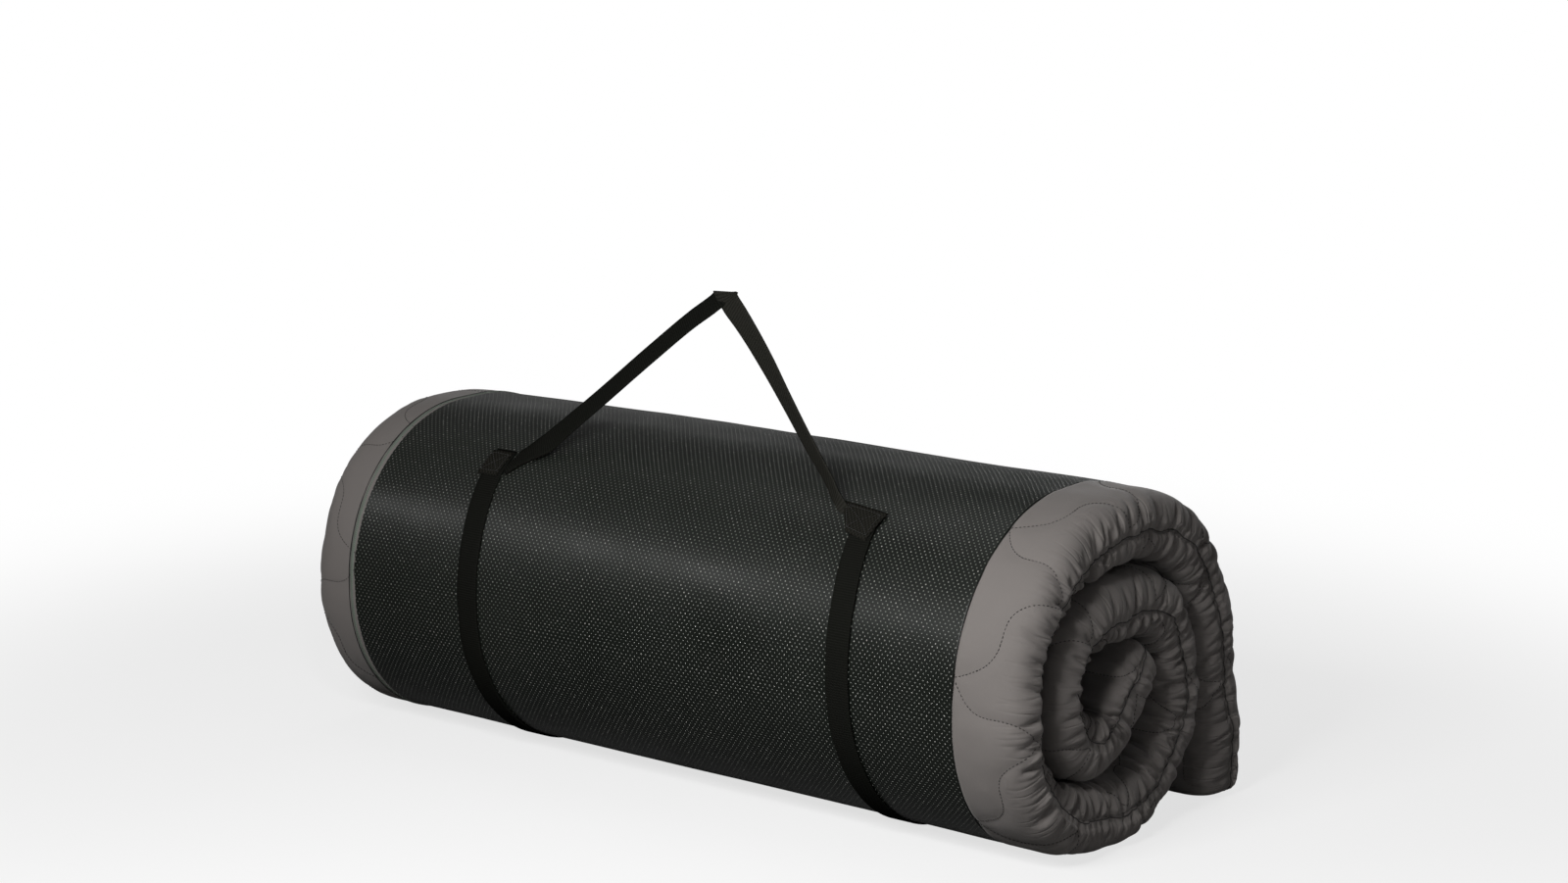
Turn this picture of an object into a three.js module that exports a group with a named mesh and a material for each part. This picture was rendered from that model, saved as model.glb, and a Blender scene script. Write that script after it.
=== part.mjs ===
// Roll-up camping mat, rolled up and standing on the floor, with two webbing bands and a carrying handle.
// Millimetres, +Z up. The roll lies along X, its front faces -Y and its loose outer end hangs at the back.
// The mat is drawn as layers laid along one spiral line, the middle of its thickness.

import * as THREE from "three";

// Layers of the mat, from the inside of the roll to the outside
const foamThickness = 48;
const waddingThickness = 5;
const coverThickness = 1.6;
const panelThickness = 1.2;
const layerGap = 0.3;

// Mat
const matWidth = 862;
const sideBorder = 68.5;
const endBorder = 60;
const sideRound = 42;
const endRound = 18;
const cornerRound = 22;
const roundFullness = 0.6;
const seamGap = 0.3;
const seamDraw = 8;
const quiltPitch = 112;
const quiltPull = 3;
const selvageWidth = 5;

// Spiral
const wrapGap = 1.5;
const coreRadius = 47;
const flatRun = 32;
const riseRun = 12.5;
const coreTurn = 75;
const curlRadius = 36;
const curlTurn = 65;
const coreRun = 62;
const tailLean = 15;
const tailRun = 20;
const tailBendRadius = 400;
const turnStep = 15;
const runStep = 45;

// Bands and their closing tabs
const webbingWidth = 25;
const webbingThickness = 1.8;
const webbingGap = 0.3;
const leftBandTop = -223;
const leftBandBottom = -204;
const rightBandTop = 222;
const rightBandBottom = 243;
const tabHingeHeight = 45;
const tabLength = 82;
const tabRise = 14;
const padLength = 52;
const padThickness = 1.2;
const padFromTip = 10;

// Stitched anchors, where the handle and the bands are sewn to the panel
const anchorTurn = 31;
const anchorLength = 28;
const leftAnchorTopWidth = 29;
const rightAnchorTopWidth = 50;
const rightAnchorTopShift = -10;
const anchorOverlap = 3;

// Carrying handle
const handleLean = 25;
const handleHeight = 186;
const leftHandleEnd = -218;
const rightHandleEnd = 206;
const handleTwist = -25;
const handleBow = 7;
const handleRows = 7;
const foldRadius = 1.2;
const foldStep = 45;

// A share of a step too small to need a row of its own
const lengthSlack = 1e-6;

const rad = THREE.MathUtils.degToRad;
const lerp = THREE.MathUtils.lerp;

const fabricGrey = new THREE.MeshStandardMaterial({ color: 0x6a6461, roughness: 0.9, metalness: 0 });
const fabricInner = new THREE.MeshStandardMaterial({ color: 0x5f5956, roughness: 0.95, metalness: 0 });
const panelBlack = new THREE.MeshStandardMaterial({ color: 0x171b1a, roughness: 0.45, metalness: 0 });
const selvageGreen = new THREE.MeshStandardMaterial({ color: 0x6e7570, roughness: 0.7, metalness: 0 });
const webbingBlack = new THREE.MeshStandardMaterial({ color: 0x121413, roughness: 0.8, metalness: 0 });
const padBlack = new THREE.MeshStandardMaterial({ color: 0x1b1c1d, roughness: 0.95, metalness: 0 });
const foamWhite = new THREE.MeshStandardMaterial({ color: 0xd9d4c4, roughness: 1, metalness: 0 });
const waddingWhite = new THREE.MeshStandardMaterial({ color: 0xe6e4df, roughness: 1, metalness: 0 });

// Depth of each layer below the skin. The panel lies on the base side only, so that side starts lower.
const panelDepth = panelThickness + layerGap;
const waddingDepth = coverThickness + layerGap;
const foamDepth = waddingDepth + waddingThickness + layerGap;
const halfThickness = (foamThickness + 2 * foamDepth + panelDepth) / 2;
const wrapPitch = 2 * halfThickness + wrapGap;

// The roll's skin lies above the floor by the band that passes under it.
const bandOffset = halfThickness + webbingGap;
const floorLift = webbingThickness + webbingGap;

// The spiral from the tail's foot to the inner end: straight runs and left-hand turns.
// Four turns make a wrap, each on its own centre, so that neighbouring wraps lie one pitch apart.
function spiralPieces(footLength) {
  const radius = (quarter) => coreRadius + (quarter * wrapPitch) / 4;
  return [
    { name: "foot", run: footLength },
    { name: "tail_bend", radius: tailBendRadius, turn: tailLean },
    { name: "tail", run: tailRun },
    { name: "outer_back", radius: radius(6), turn: 90 - tailLean },
    { name: "outer_top", run: flatRun },
    { name: "outer_front_top", radius: radius(5), turn: 90 },
    { name: "outer_front", run: riseRun },
    { name: "outer_front_bottom", radius: radius(4), turn: 90 },
    { name: "outer_bottom", run: flatRun },
    { name: "inner_back_bottom", radius: radius(3), turn: 90 },
    { name: "inner_back", run: riseRun },
    { name: "inner_back_top", radius: radius(2), turn: 90 },
    { name: "inner_top", run: flatRun },
    { name: "inner_front_top", radius: radius(1), turn: 90 },
    { name: "inner_front", run: riseRun },
    { name: "core_turn", radius: radius(0), turn: coreTurn },
    { name: "curl", radius: curlRadius, turn: curlTurn },
    { name: "core_end", run: coreRun },
  ];
}

// Walks along the pieces and notes where each one starts: its length so far, place and heading.
function walk(pieces) {
  let s = 0;
  let y = 0;
  let z = 0;
  let heading = 90;
  return pieces.map((piece) => {
    const start = { ...piece, s, y, z, heading };
    const a = rad(heading);
    if (piece.run !== undefined) {
      start.length = piece.run;
      y += piece.run * Math.cos(a);
      z += piece.run * Math.sin(a);
    } else {
      const b = rad(heading + piece.turn);
      start.length = piece.radius * rad(piece.turn);
      y += piece.radius * (Math.sin(b) - Math.sin(a));
      z += piece.radius * (Math.cos(a) - Math.cos(b));
      heading += piece.turn;
    }
    s += start.length;
    return start;
  });
}

const pieceNamed = (path, name) => path.find((piece) => piece.name === name);

// The foot is as long as it takes to bring the tail's end down to the level of the roll's underside.
const footLength = halfThickness - pieceNamed(walk(spiralPieces(0)), "outer_bottom").z;
const spiral = walk(spiralPieces(footLength));
const spiralEnd = spiral.at(-1);
const spiralLength = spiralEnd.s + spiralEnd.length;

// Place, heading and outward direction on the spiral at a length s from the tail's foot.
function spiralAt(s) {
  const piece = spiral.findLast((candidate) => s >= candidate.s) ?? spiral[0];
  const along = s - piece.s;
  const a = rad(piece.heading);
  const b = piece.radius ? a + along / piece.radius : a;
  const straight = piece.radius ? 0 : along;
  const bend = piece.radius ?? 0;
  return {
    y: piece.y + straight * Math.cos(a) + bend * (Math.sin(b) - Math.sin(a)),
    z: piece.z + straight * Math.sin(a) + bend * (Math.cos(a) - Math.cos(b)) + floorLift,
    ty: Math.cos(b),
    tz: Math.sin(b),
  };
}

// A point at x on the roll, a height n above the middle of the thickness, at a length s.
function onRoll(x, n, s) {
  const p = spiralAt(s);
  return new THREE.Vector3(x, p.y + n * p.tz, p.z - n * p.ty);
}

// Lengths at which the layers have a row of points: every joint of two pieces, and even steps between.
function rowLengths(from, to) {
  const rows = [from];
  for (const piece of spiral) {
    const size = Math.max((piece.turn ?? 0) / turnStep, piece.length / runStep);
    const steps = Math.max(1, Math.ceil(size - lengthSlack));
    for (let k = 1; k <= steps; k++) rows.push(piece.s + (piece.length * k) / steps);
  }
  return [...rows.filter((s, k) => k === 0 || (s > from + layerGap && s < to - layerGap)), to];
}

// A closed body between two grids of points of the same size. Each grid is a list of rows, rows advance
// along the heading, points in a row advance along +X, and the front grid is on the outward side.
function shell(front, back) {
  const rows = front.length;
  const columns = front[0].length;
  const points = [...front.flat(), ...back.flat()];
  const f = (i, j) => i * columns + j;
  const b = (i, j) => (rows + i) * columns + j;
  const index = [];
  const quad = (p, q, r, s) => index.push(p, q, r, p, r, s);
  for (let i = 0; i + 1 < rows; i++) {
    for (let j = 0; j + 1 < columns; j++) {
      quad(f(i, j), f(i + 1, j), f(i + 1, j + 1), f(i, j + 1));
      quad(b(i, j), b(i, j + 1), b(i + 1, j + 1), b(i + 1, j));
    }
    const last = columns - 1;
    quad(f(i, 0), b(i, 0), b(i + 1, 0), f(i + 1, 0));
    quad(f(i, last), f(i + 1, last), b(i + 1, last), b(i, last));
  }
  for (let j = 0; j + 1 < columns; j++) {
    const last = rows - 1;
    quad(f(0, j), f(0, j + 1), b(0, j + 1), b(0, j));
    quad(f(last, j), b(last, j), b(last, j + 1), f(last, j + 1));
  }
  const geometry = new THREE.BufferGeometry().setFromPoints(points);
  geometry.setIndex(index);
  geometry.computeVertexNormals();
  return geometry;
}

function named(name, geometry, material) {
  const mesh = new THREE.Mesh(geometry, material);
  mesh.name = name;
  return mesh;
}

// Rows of the padded layers: the rounded ends first and last, and the full thickness between them.
// An end row holds the angle round the end, from which each layer finds its own length and thickness.
const endAngles = [90, 60, 30];
const bodyRows = rowLengths(endRound, spiralLength - endRound);
const paddedRows = [
  ...endAngles.map((angle) => ({ angle, atStart: true })),
  ...bodyRows.map((s) => ({ s })),
  ...endAngles.toReversed().map((angle) => ({ angle, atStart: false })),
];

// Where a layer at this depth crosses a row, and its share of the full thickness there.
function rowPlace(row, depth) {
  if (row.s !== undefined) return { s: row.s, share: 1 };
  const a = rad(row.angle);
  const fromEnd = depth + (endRound - depth) * (1 - Math.sin(a));
  const share = row.angle === 90 ? 0 : Math.cos(a) ** roundFullness;
  return { s: row.atStart ? fromEnd : spiralLength - fromEnd, share };
}

// The side draws in where a line of quilting reaches it, and again along its seam.
const quiltDraw = (s) => quiltPull * Math.cos((Math.PI * s) / quiltPitch) ** 2;

// One padded surface. Side is 1 for the base and -1 for the top, depth is measured from the cover's skin,
// and the angles run from the flat to the side seam, where the base and the top almost meet.
function paddedGrid(side, depth, angles) {
  const edge = seamGap / 2;
  const below = side > 0 ? depth + panelDepth : depth;
  const full = halfThickness - below - edge;
  return paddedRows.map((row) => {
    const { s, share } = rowPlace(row, depth);
    const flat = matWidth / 2 - sideRound - cornerRound * (1 - share);
    const points = angles.map((angle) => {
      const draw = quiltDraw(s) + (angle === 90 ? seamDraw * share : 0);
      const out = Math.sin(rad(angle)) ** roundFullness;
      const up = angle === 90 ? 0 : Math.cos(rad(angle)) ** roundFullness;
      return { x: flat + (sideRound - depth - draw) * out, n: side * (edge + full * up * share) };
    });
    const left = points.toReversed().map(({ x, n }) => onRoll(-x, n, s));
    const right = points.map(({ x, n }) => onRoll(x, n, s));
    return [...left, ...right];
  });
}

const coverAngles = [0, 30, 60, 80, 90];
const waddingAngles = [0, 60];
const foamAngles = [0, 60, 90];

function foamCore() {
  const front = paddedGrid(1, foamDepth, foamAngles);
  const back = paddedGrid(-1, foamDepth, foamAngles);
  return named("foam_core", shell(front, back), foamWhite);
}

// A sheet on one side of the mat, between two depths.
function paddedSheet(name, side, depth, thickness, angles, material) {
  const outside = paddedGrid(side, depth, angles);
  const inside = paddedGrid(side, depth + thickness, angles);
  const geometry = side > 0 ? shell(outside, inside) : shell(inside, outside);
  return named(name, geometry, material);
}

// A strip on the roll's outer face between two values of x.
function faceStrip(name, left, right, material) {
  const rows = rowLengths(endBorder, spiralLength - endBorder);
  const grid = (n) => rows.map((s) => [onRoll(left, n, s), onRoll(right, n, s)]);
  return named(name, shell(grid(halfThickness), grid(halfThickness - panelThickness)), material);
}

function matBody() {
  const mat = new THREE.Group();
  const panelEdge = matWidth / 2 - sideBorder;
  const selvageRight = -panelEdge - layerGap;
  mat.add(
    foamCore(),
    paddedSheet("top_wadding", -1, waddingDepth, waddingThickness, waddingAngles, waddingWhite),
    paddedSheet("base_wadding", 1, waddingDepth, waddingThickness, waddingAngles, waddingWhite),
    paddedSheet("top_cover", -1, 0, coverThickness, coverAngles, fabricInner),
    paddedSheet("base_cover", 1, 0, coverThickness, coverAngles, fabricGrey),
    faceStrip("base_panel", -panelEdge, panelEdge, panelBlack),
    faceStrip("panel_selvage", selvageRight - selvageWidth, selvageRight, selvageGreen),
  );
  return mat;
}

// The stitched anchors are flat and touch the round of the roll at their middle.
const frontTop = pieceNamed(spiral, "outer_front_top");
const anchorTop = frontTop.s + frontTop.radius * rad(anchorTurn);
const anchorMiddle = anchorTop + anchorLength / 2;
const anchorHeight = bandOffset + webbingThickness + webbingGap + webbingThickness / 2;

function anchorPatch(name, x, topWidth, topShift) {
  const half = anchorLength / 2;
  const outline = new THREE.Shape([
    new THREE.Vector2(-webbingWidth / 2, -half),
    new THREE.Vector2(webbingWidth / 2, -half),
    new THREE.Vector2(topShift + topWidth / 2, half),
    new THREE.Vector2(topShift - topWidth / 2, half),
  ]);
  const geometry = new THREE.ExtrudeGeometry(outline, { depth: webbingThickness, bevelEnabled: false });
  geometry.translate(0, 0, -webbingThickness / 2);
  const patch = named(name, geometry, webbingBlack);
  const { ty, tz } = spiralAt(anchorMiddle);
  patch.position.copy(onRoll(x, anchorHeight, anchorMiddle));
  patch.rotation.x = Math.atan2(-tz, -ty);
  return patch;
}

// A band's middle line as seen from the side: down the front, under the roll, along the floor to the tail,
// round the tail's foot and a little way up its back. Each point gives its outward direction.
function bandPath() {
  const bottom = pieceNamed(spiral, "inner_back_bottom").s;
  const rows = rowLengths(anchorTop + anchorOverlap, bottom);
  const path = rows.map((s) => {
    const { ty, tz } = spiralAt(s);
    const { y, z } = onRoll(0, bandOffset, s);
    return { y, z, oy: tz, oz: -ty, share: (s - rows[0]) / (bottom - rows[0]) };
  });
  const foot = spiralAt(0);
  const cornerY = foot.y + halfThickness - endRound;
  const cornerRadius = endRound + webbingGap;
  const steps = Math.ceil(90 / turnStep);
  for (let k = 0; k <= steps; k++) {
    const a = rad((90 * k) / steps);
    const oy = Math.sin(a);
    const oz = -Math.cos(a);
    const z = foot.z + endRound + cornerRadius * oz;
    path.push({ y: cornerY + cornerRadius * oy, z, oy, oz, share: 1 });
  }
  path.push({ y: foot.y + bandOffset, z: foot.z + tabHingeHeight, oy: 1, oz: 0, share: 1 });
  return path;
}

function band(name, xTop, xBottom) {
  const grid = (height) =>
    bandPath().map(({ y, z, oy, oz, share }) => {
      const x = lerp(xTop, xBottom, share);
      return [-webbingWidth / 2, webbingWidth / 2].map(
        (half) => new THREE.Vector3(x + half, y + height * oy, z + height * oz),
      );
    });
  return named(name, shell(grid(webbingThickness), grid(0)), webbingBlack);
}

// Heights over the tail: the loop pad on the panel, the hook pad on it, and the tab's webbing over both.
const loopHeight = halfThickness + layerGap;
const hookHeight = loopHeight + padThickness + layerGap;
const tabHeight = hookHeight + padThickness + layerGap;
const tabEnd = tabHingeHeight + tabLength;
const padTo = tabEnd - padFromTip;
const padFrom = padTo - padLength;

// A strip on the tail's back whose inner face stands at the height given for each length.
function tailStrip(name, x, stations, thickness, material) {
  const grid = (extra) =>
    stations.map(({ s, height }) =>
      [-webbingWidth / 2, webbingWidth / 2].map((half) => onRoll(x + half, height + extra, s)),
    );
  return named(name, shell(grid(thickness), grid(0)), material);
}

function tailStations(from, to, height) {
  return rowLengths(from, to).map((s) => ({ s, height }));
}

// The tab turns about the outer edge of the band's end, where the webbing bends when it is peeled back.
function closingTab(side, x) {
  const group = new THREE.Group();
  const hinge = onRoll(x, bandOffset + webbingThickness, tabHingeHeight);
  group.position.copy(hinge);
  const stations = [
    { s: tabHingeHeight + webbingGap, height: bandOffset },
    ...tailStations(tabHingeHeight + tabRise, padFrom, tabHeight),
    ...tailStations(padFrom, padTo, tabHeight).slice(1),
    { s: tabEnd, height: tabHeight },
  ];
  group.add(
    tailStrip("tab_" + side, x, stations, webbingThickness, webbingBlack),
    tailStrip("hook_pad_" + side, x, tailStations(padFrom, padTo, hookHeight), padThickness, padBlack),
  );
  for (const mesh of group.children) mesh.geometry.translate(-hinge.x, -hinge.y, -hinge.z);
  return group;
}

function loopPad(side, x) {
  return tailStrip("loop_pad_" + side, x, tailStations(padFrom, padTo, loopHeight), padThickness, padBlack);
}

// One leg of the handle in the handle's own frame, from its sewn end up to the fold: X along the roll,
// Z up the handle and Y towards the back. It bows in and twists between its two flat ends.
function handleLeg(end, side) {
  const top = (leftHandleEnd + rightHandleEnd) / 2;
  const foldHeight = handleHeight - foldRadius - webbingThickness / 2;
  const rows = [];
  for (let k = 0; k < handleRows; k++) {
    const share = k / (handleRows - 1);
    const swell = Math.sin(Math.PI * share);
    const x = lerp(end, top, share) - side * handleBow * swell;
    const y = side * foldRadius * Math.sin((Math.PI / 2) * share);
    rows.push({ x, y, z: foldHeight * share, twist: rad(handleTwist) * swell, turn: side < 0 ? 0 : 180 });
  }
  return rows;
}

// The handle is one length of webbing folded flat over itself at the top. Every row of its points is
// level, so it is as wide as a level cut across the leaning leg.
function handleGeometry() {
  const left = handleLeg(leftHandleEnd, -1);
  const { x, z } = left.at(-1);
  const fold = [];
  for (let turn = foldStep; turn < 180; turn += foldStep) {
    const a = rad(turn);
    fold.push({ x, y: -foldRadius * Math.cos(a), z: z + foldRadius * Math.sin(a), twist: 0, turn });
  }
  const rows = [...left, ...fold, ...handleLeg(rightHandleEnd, 1).toReversed()];
  const slope = Math.hypot(1, (x - leftHandleEnd) / z);
  const grid = (height) =>
    rows.map((row) => {
      const across = new THREE.Vector3(slope * Math.cos(row.twist), Math.sin(row.twist), 0);
      const facing = new THREE.Vector3(-Math.sin(row.twist), Math.cos(row.twist), 0);
      facing.multiplyScalar(Math.cos(rad(row.turn))).setZ(-Math.sin(rad(row.turn)));
      const middle = new THREE.Vector3(row.x, row.y, row.z).addScaledVector(facing, height);
      const half = webbingWidth / 2;
      return [-half, half].map((reach) => middle.clone().addScaledVector(across, reach));
    });
  return shell(grid(webbingThickness / 2), grid(-webbingThickness / 2));
}

function carryHandle() {
  const group = new THREE.Group();
  group.add(named("carry_handle", handleGeometry(), webbingBlack));
  const patch = spiralAt(anchorMiddle);
  group.position.copy(onRoll(0, anchorHeight + webbingThickness + webbingGap, anchorMiddle));
  group.position.y -= (anchorLength / 2) * patch.ty;
  group.position.z -= (anchorLength / 2) * patch.tz;
  group.rotation.x = -rad(handleLean);
  return group;
}

function strapWork() {
  const straps = new THREE.Group();
  straps.add(
    band("band_left", leftBandTop, leftBandBottom),
    band("band_right", rightBandTop, rightBandBottom),
    anchorPatch("anchor_patch_left", leftBandTop, leftAnchorTopWidth, 0),
    anchorPatch("anchor_patch_right", rightBandTop, rightAnchorTopWidth, rightAnchorTopShift),
    loopPad("left", leftBandBottom),
    loopPad("right", rightBandBottom),
    closingTab("left", leftBandBottom),
    closingTab("right", rightBandBottom),
    carryHandle(),
  );
  return straps;
}

// The whole part stands on the floor, centred over the origin.
const group = new THREE.Group();
group.add(matBody(), strapWork());
const box = new THREE.Box3().setFromObject(group, true);
group.position.set(-(box.min.x + box.max.x) / 2, -(box.min.y + box.max.y) / 2, -box.min.z);

export default group;
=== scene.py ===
"""A rolled camping mat on its webbing bands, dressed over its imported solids."""

import logging
import math
from dataclasses import dataclass, field, replace
from enum import Enum

import bpy
import numpy as np
from mathutils.kdtree import KDTree
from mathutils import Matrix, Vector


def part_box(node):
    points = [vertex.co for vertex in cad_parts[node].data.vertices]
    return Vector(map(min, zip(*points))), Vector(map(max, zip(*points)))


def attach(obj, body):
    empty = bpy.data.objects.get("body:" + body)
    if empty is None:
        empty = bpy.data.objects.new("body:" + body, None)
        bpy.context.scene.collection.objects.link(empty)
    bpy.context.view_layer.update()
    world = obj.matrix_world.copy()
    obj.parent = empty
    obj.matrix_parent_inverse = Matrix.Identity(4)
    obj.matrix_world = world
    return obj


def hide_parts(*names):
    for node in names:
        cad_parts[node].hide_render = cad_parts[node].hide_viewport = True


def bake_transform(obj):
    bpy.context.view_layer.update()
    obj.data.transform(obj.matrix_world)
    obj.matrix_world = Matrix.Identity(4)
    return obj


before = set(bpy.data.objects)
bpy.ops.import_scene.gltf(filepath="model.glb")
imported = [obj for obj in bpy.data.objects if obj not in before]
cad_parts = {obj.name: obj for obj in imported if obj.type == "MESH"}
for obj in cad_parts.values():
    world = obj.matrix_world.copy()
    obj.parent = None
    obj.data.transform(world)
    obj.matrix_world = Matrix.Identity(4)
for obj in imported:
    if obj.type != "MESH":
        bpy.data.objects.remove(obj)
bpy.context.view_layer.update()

LOG = logging.getLogger("camping_mat")
MM = 0.001
MAT_BODY = "mat"
SHEET_POINTS = "sheet"

Array = np.ndarray


class Face(Enum):
    """The two faces of the mat: the base looks outwards on the roll, the top looks in."""

    BASE = 1
    TOP = -1


class Hand(Enum):
    """The two ends of the roll along X."""

    LEFT = -1
    RIGHT = 1

    @property
    def word(self) -> str:
        """The name used in nodes and pieces."""
        return self.name.lower()

    def of(self, pair: tuple) -> object:
        """This end's entry of a pair that gives the left end first."""
        return pair[0] if self is Hand.LEFT else pair[1]


# Meshes


def make_object(name: str, points: Array, faces: list, sheet: Array | None = None) -> bpy.types.Object:
    """Make a smooth mesh object from points and faces, with nothing of it under the floor.

    Args:
        name: The object's name.
        points: Its points, in metres.
        faces: Index tuples of its faces.
        sheet: For each point, its place on the flat sheet: across and along, in metres.

    Returns:
        The new object, linked to the scene.
    """
    mesh = bpy.data.meshes.new(name)
    rested = np.array(points, float)
    rested[:, 2] = np.maximum(rested[:, 2], 0.0)
    mesh.from_pydata(rested.tolist(), [], faces)
    mesh.polygons.foreach_set("use_smooth", np.ones(len(mesh.polygons), bool))
    if sheet is not None:
        flat = np.zeros((len(points), 3), np.float32)
        flat[:, :2] = sheet
        layer = mesh.attributes.new(SHEET_POINTS, "FLOAT_VECTOR", "POINT")
        layer.data.foreach_set("vector", flat.ravel())
    mesh.validate()
    mesh.update()
    made = bpy.data.objects.new(name, mesh)
    bpy.context.scene.collection.objects.link(made)
    return made


def ring_faces(rows: int, columns: int, closed: bool = False) -> list:
    """Quads over rows of closed rings of points.

    Args:
        rows: How many rings.
        columns: Points in a ring.
        closed: Whether the last ring joins the first.

    Returns:
        The index tuples.
    """
    i = np.arange(rows if closed else rows - 1)[:, None]
    j = np.arange(columns)[None, :]
    after, beside = (i + 1) % rows, (j + 1) % columns
    corners = [i * columns + j, after * columns + j, after * columns + beside, i * columns + beside]
    return np.stack(corners, -1).reshape(-1, 4).tolist()


def cap_faces(rows: int, columns: int) -> list:
    """The two end faces of a tube made by ring_faces."""
    last = (rows - 1) * columns
    return [tuple(range(columns)), tuple(last + j for j in reversed(range(columns)))]


def swept(name: str, rings: Array, sheet: Array) -> bpy.types.Object:
    """Make a closed piece from rings of points that follow each other.

    Args:
        name: The object's name.
        rings: Points by ring and place in the ring.
        sheet: For each point, its place on the flat sheet.

    Returns:
        The new object.
    """
    rows, columns = rings.shape[:2]
    faces = ring_faces(rows, columns) + cap_faces(rows, columns)
    return make_object(name, rings.reshape(-1, 3), faces, sheet)


def smooth_step(value: Array | float) -> Array:
    """An S curve from 0 to 1 over the values 0 to 1."""
    t = np.clip(value, 0.0, 1.0)
    return t * t * (3 - 2 * t)


def unit(vectors: Array) -> Array:
    """The vectors at length one."""
    return vectors / np.maximum(np.linalg.norm(vectors, axis=-1, keepdims=True), 1e-12)


def run_lengths(points: Array) -> Array:
    """The length along a line of points, from 0 at its first one."""
    return np.concatenate([[0], np.cumsum(np.linalg.norm(np.diff(points, axis=0), axis=1))])


def between(grid: Array, i: Array, j: Array, wrap: bool = False) -> Array:
    """Points between the rows and columns of a grid.

    Args:
        grid: Points by row and column.
        i: Row numbers, with fractions.
        j: Column numbers, with fractions.
        wrap: Whether the last column meets the first.

    Returns:
        The points.
    """
    rows, columns = grid.shape[:2]
    i0, j0 = np.clip(np.floor(i).astype(int), 0, rows - 2), np.floor(j).astype(int)
    if not wrap:
        j0 = np.clip(j0, 0, columns - 2)
    a, b = (i - i0)[:, None], (j - j0)[:, None]
    here, after = j0 % columns, (j0 + 1) % columns
    low = grid[i0, here] * (1 - a) + grid[i0 + 1, here] * a
    high = grid[i0, after] * (1 - a) + grid[i0 + 1, after] * a
    return low * (1 - b) + high * b


def soft_noise(x: Array, y: Array, pitch: float, seed: int) -> Array:
    """Smooth random hills of one size, from -1 to 1.

    Args:
        x: First coordinate.
        y: Second coordinate, of the same shape.
        pitch: Distance between hills.
        seed: Picks the pattern.

    Returns:
        The height at each place.
    """
    cells, offset = 256, 64.0
    table = np.random.default_rng(seed).uniform(-1, 1, (cells, cells))
    u, v = x / pitch + offset, y / pitch + offset
    i, j = np.floor(u).astype(int), np.floor(v).astype(int)
    a, b = smooth_step(u - i), smooth_step(v - j)
    i, j, k, m = i % cells, j % cells, (i + 1) % cells, (j + 1) % cells
    low = table[i, j] * (1 - a) + table[k, j] * a
    high = table[i, m] * (1 - a) + table[k, m] * a
    return low * (1 - b) + high * b


# Shader building blocks


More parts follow.
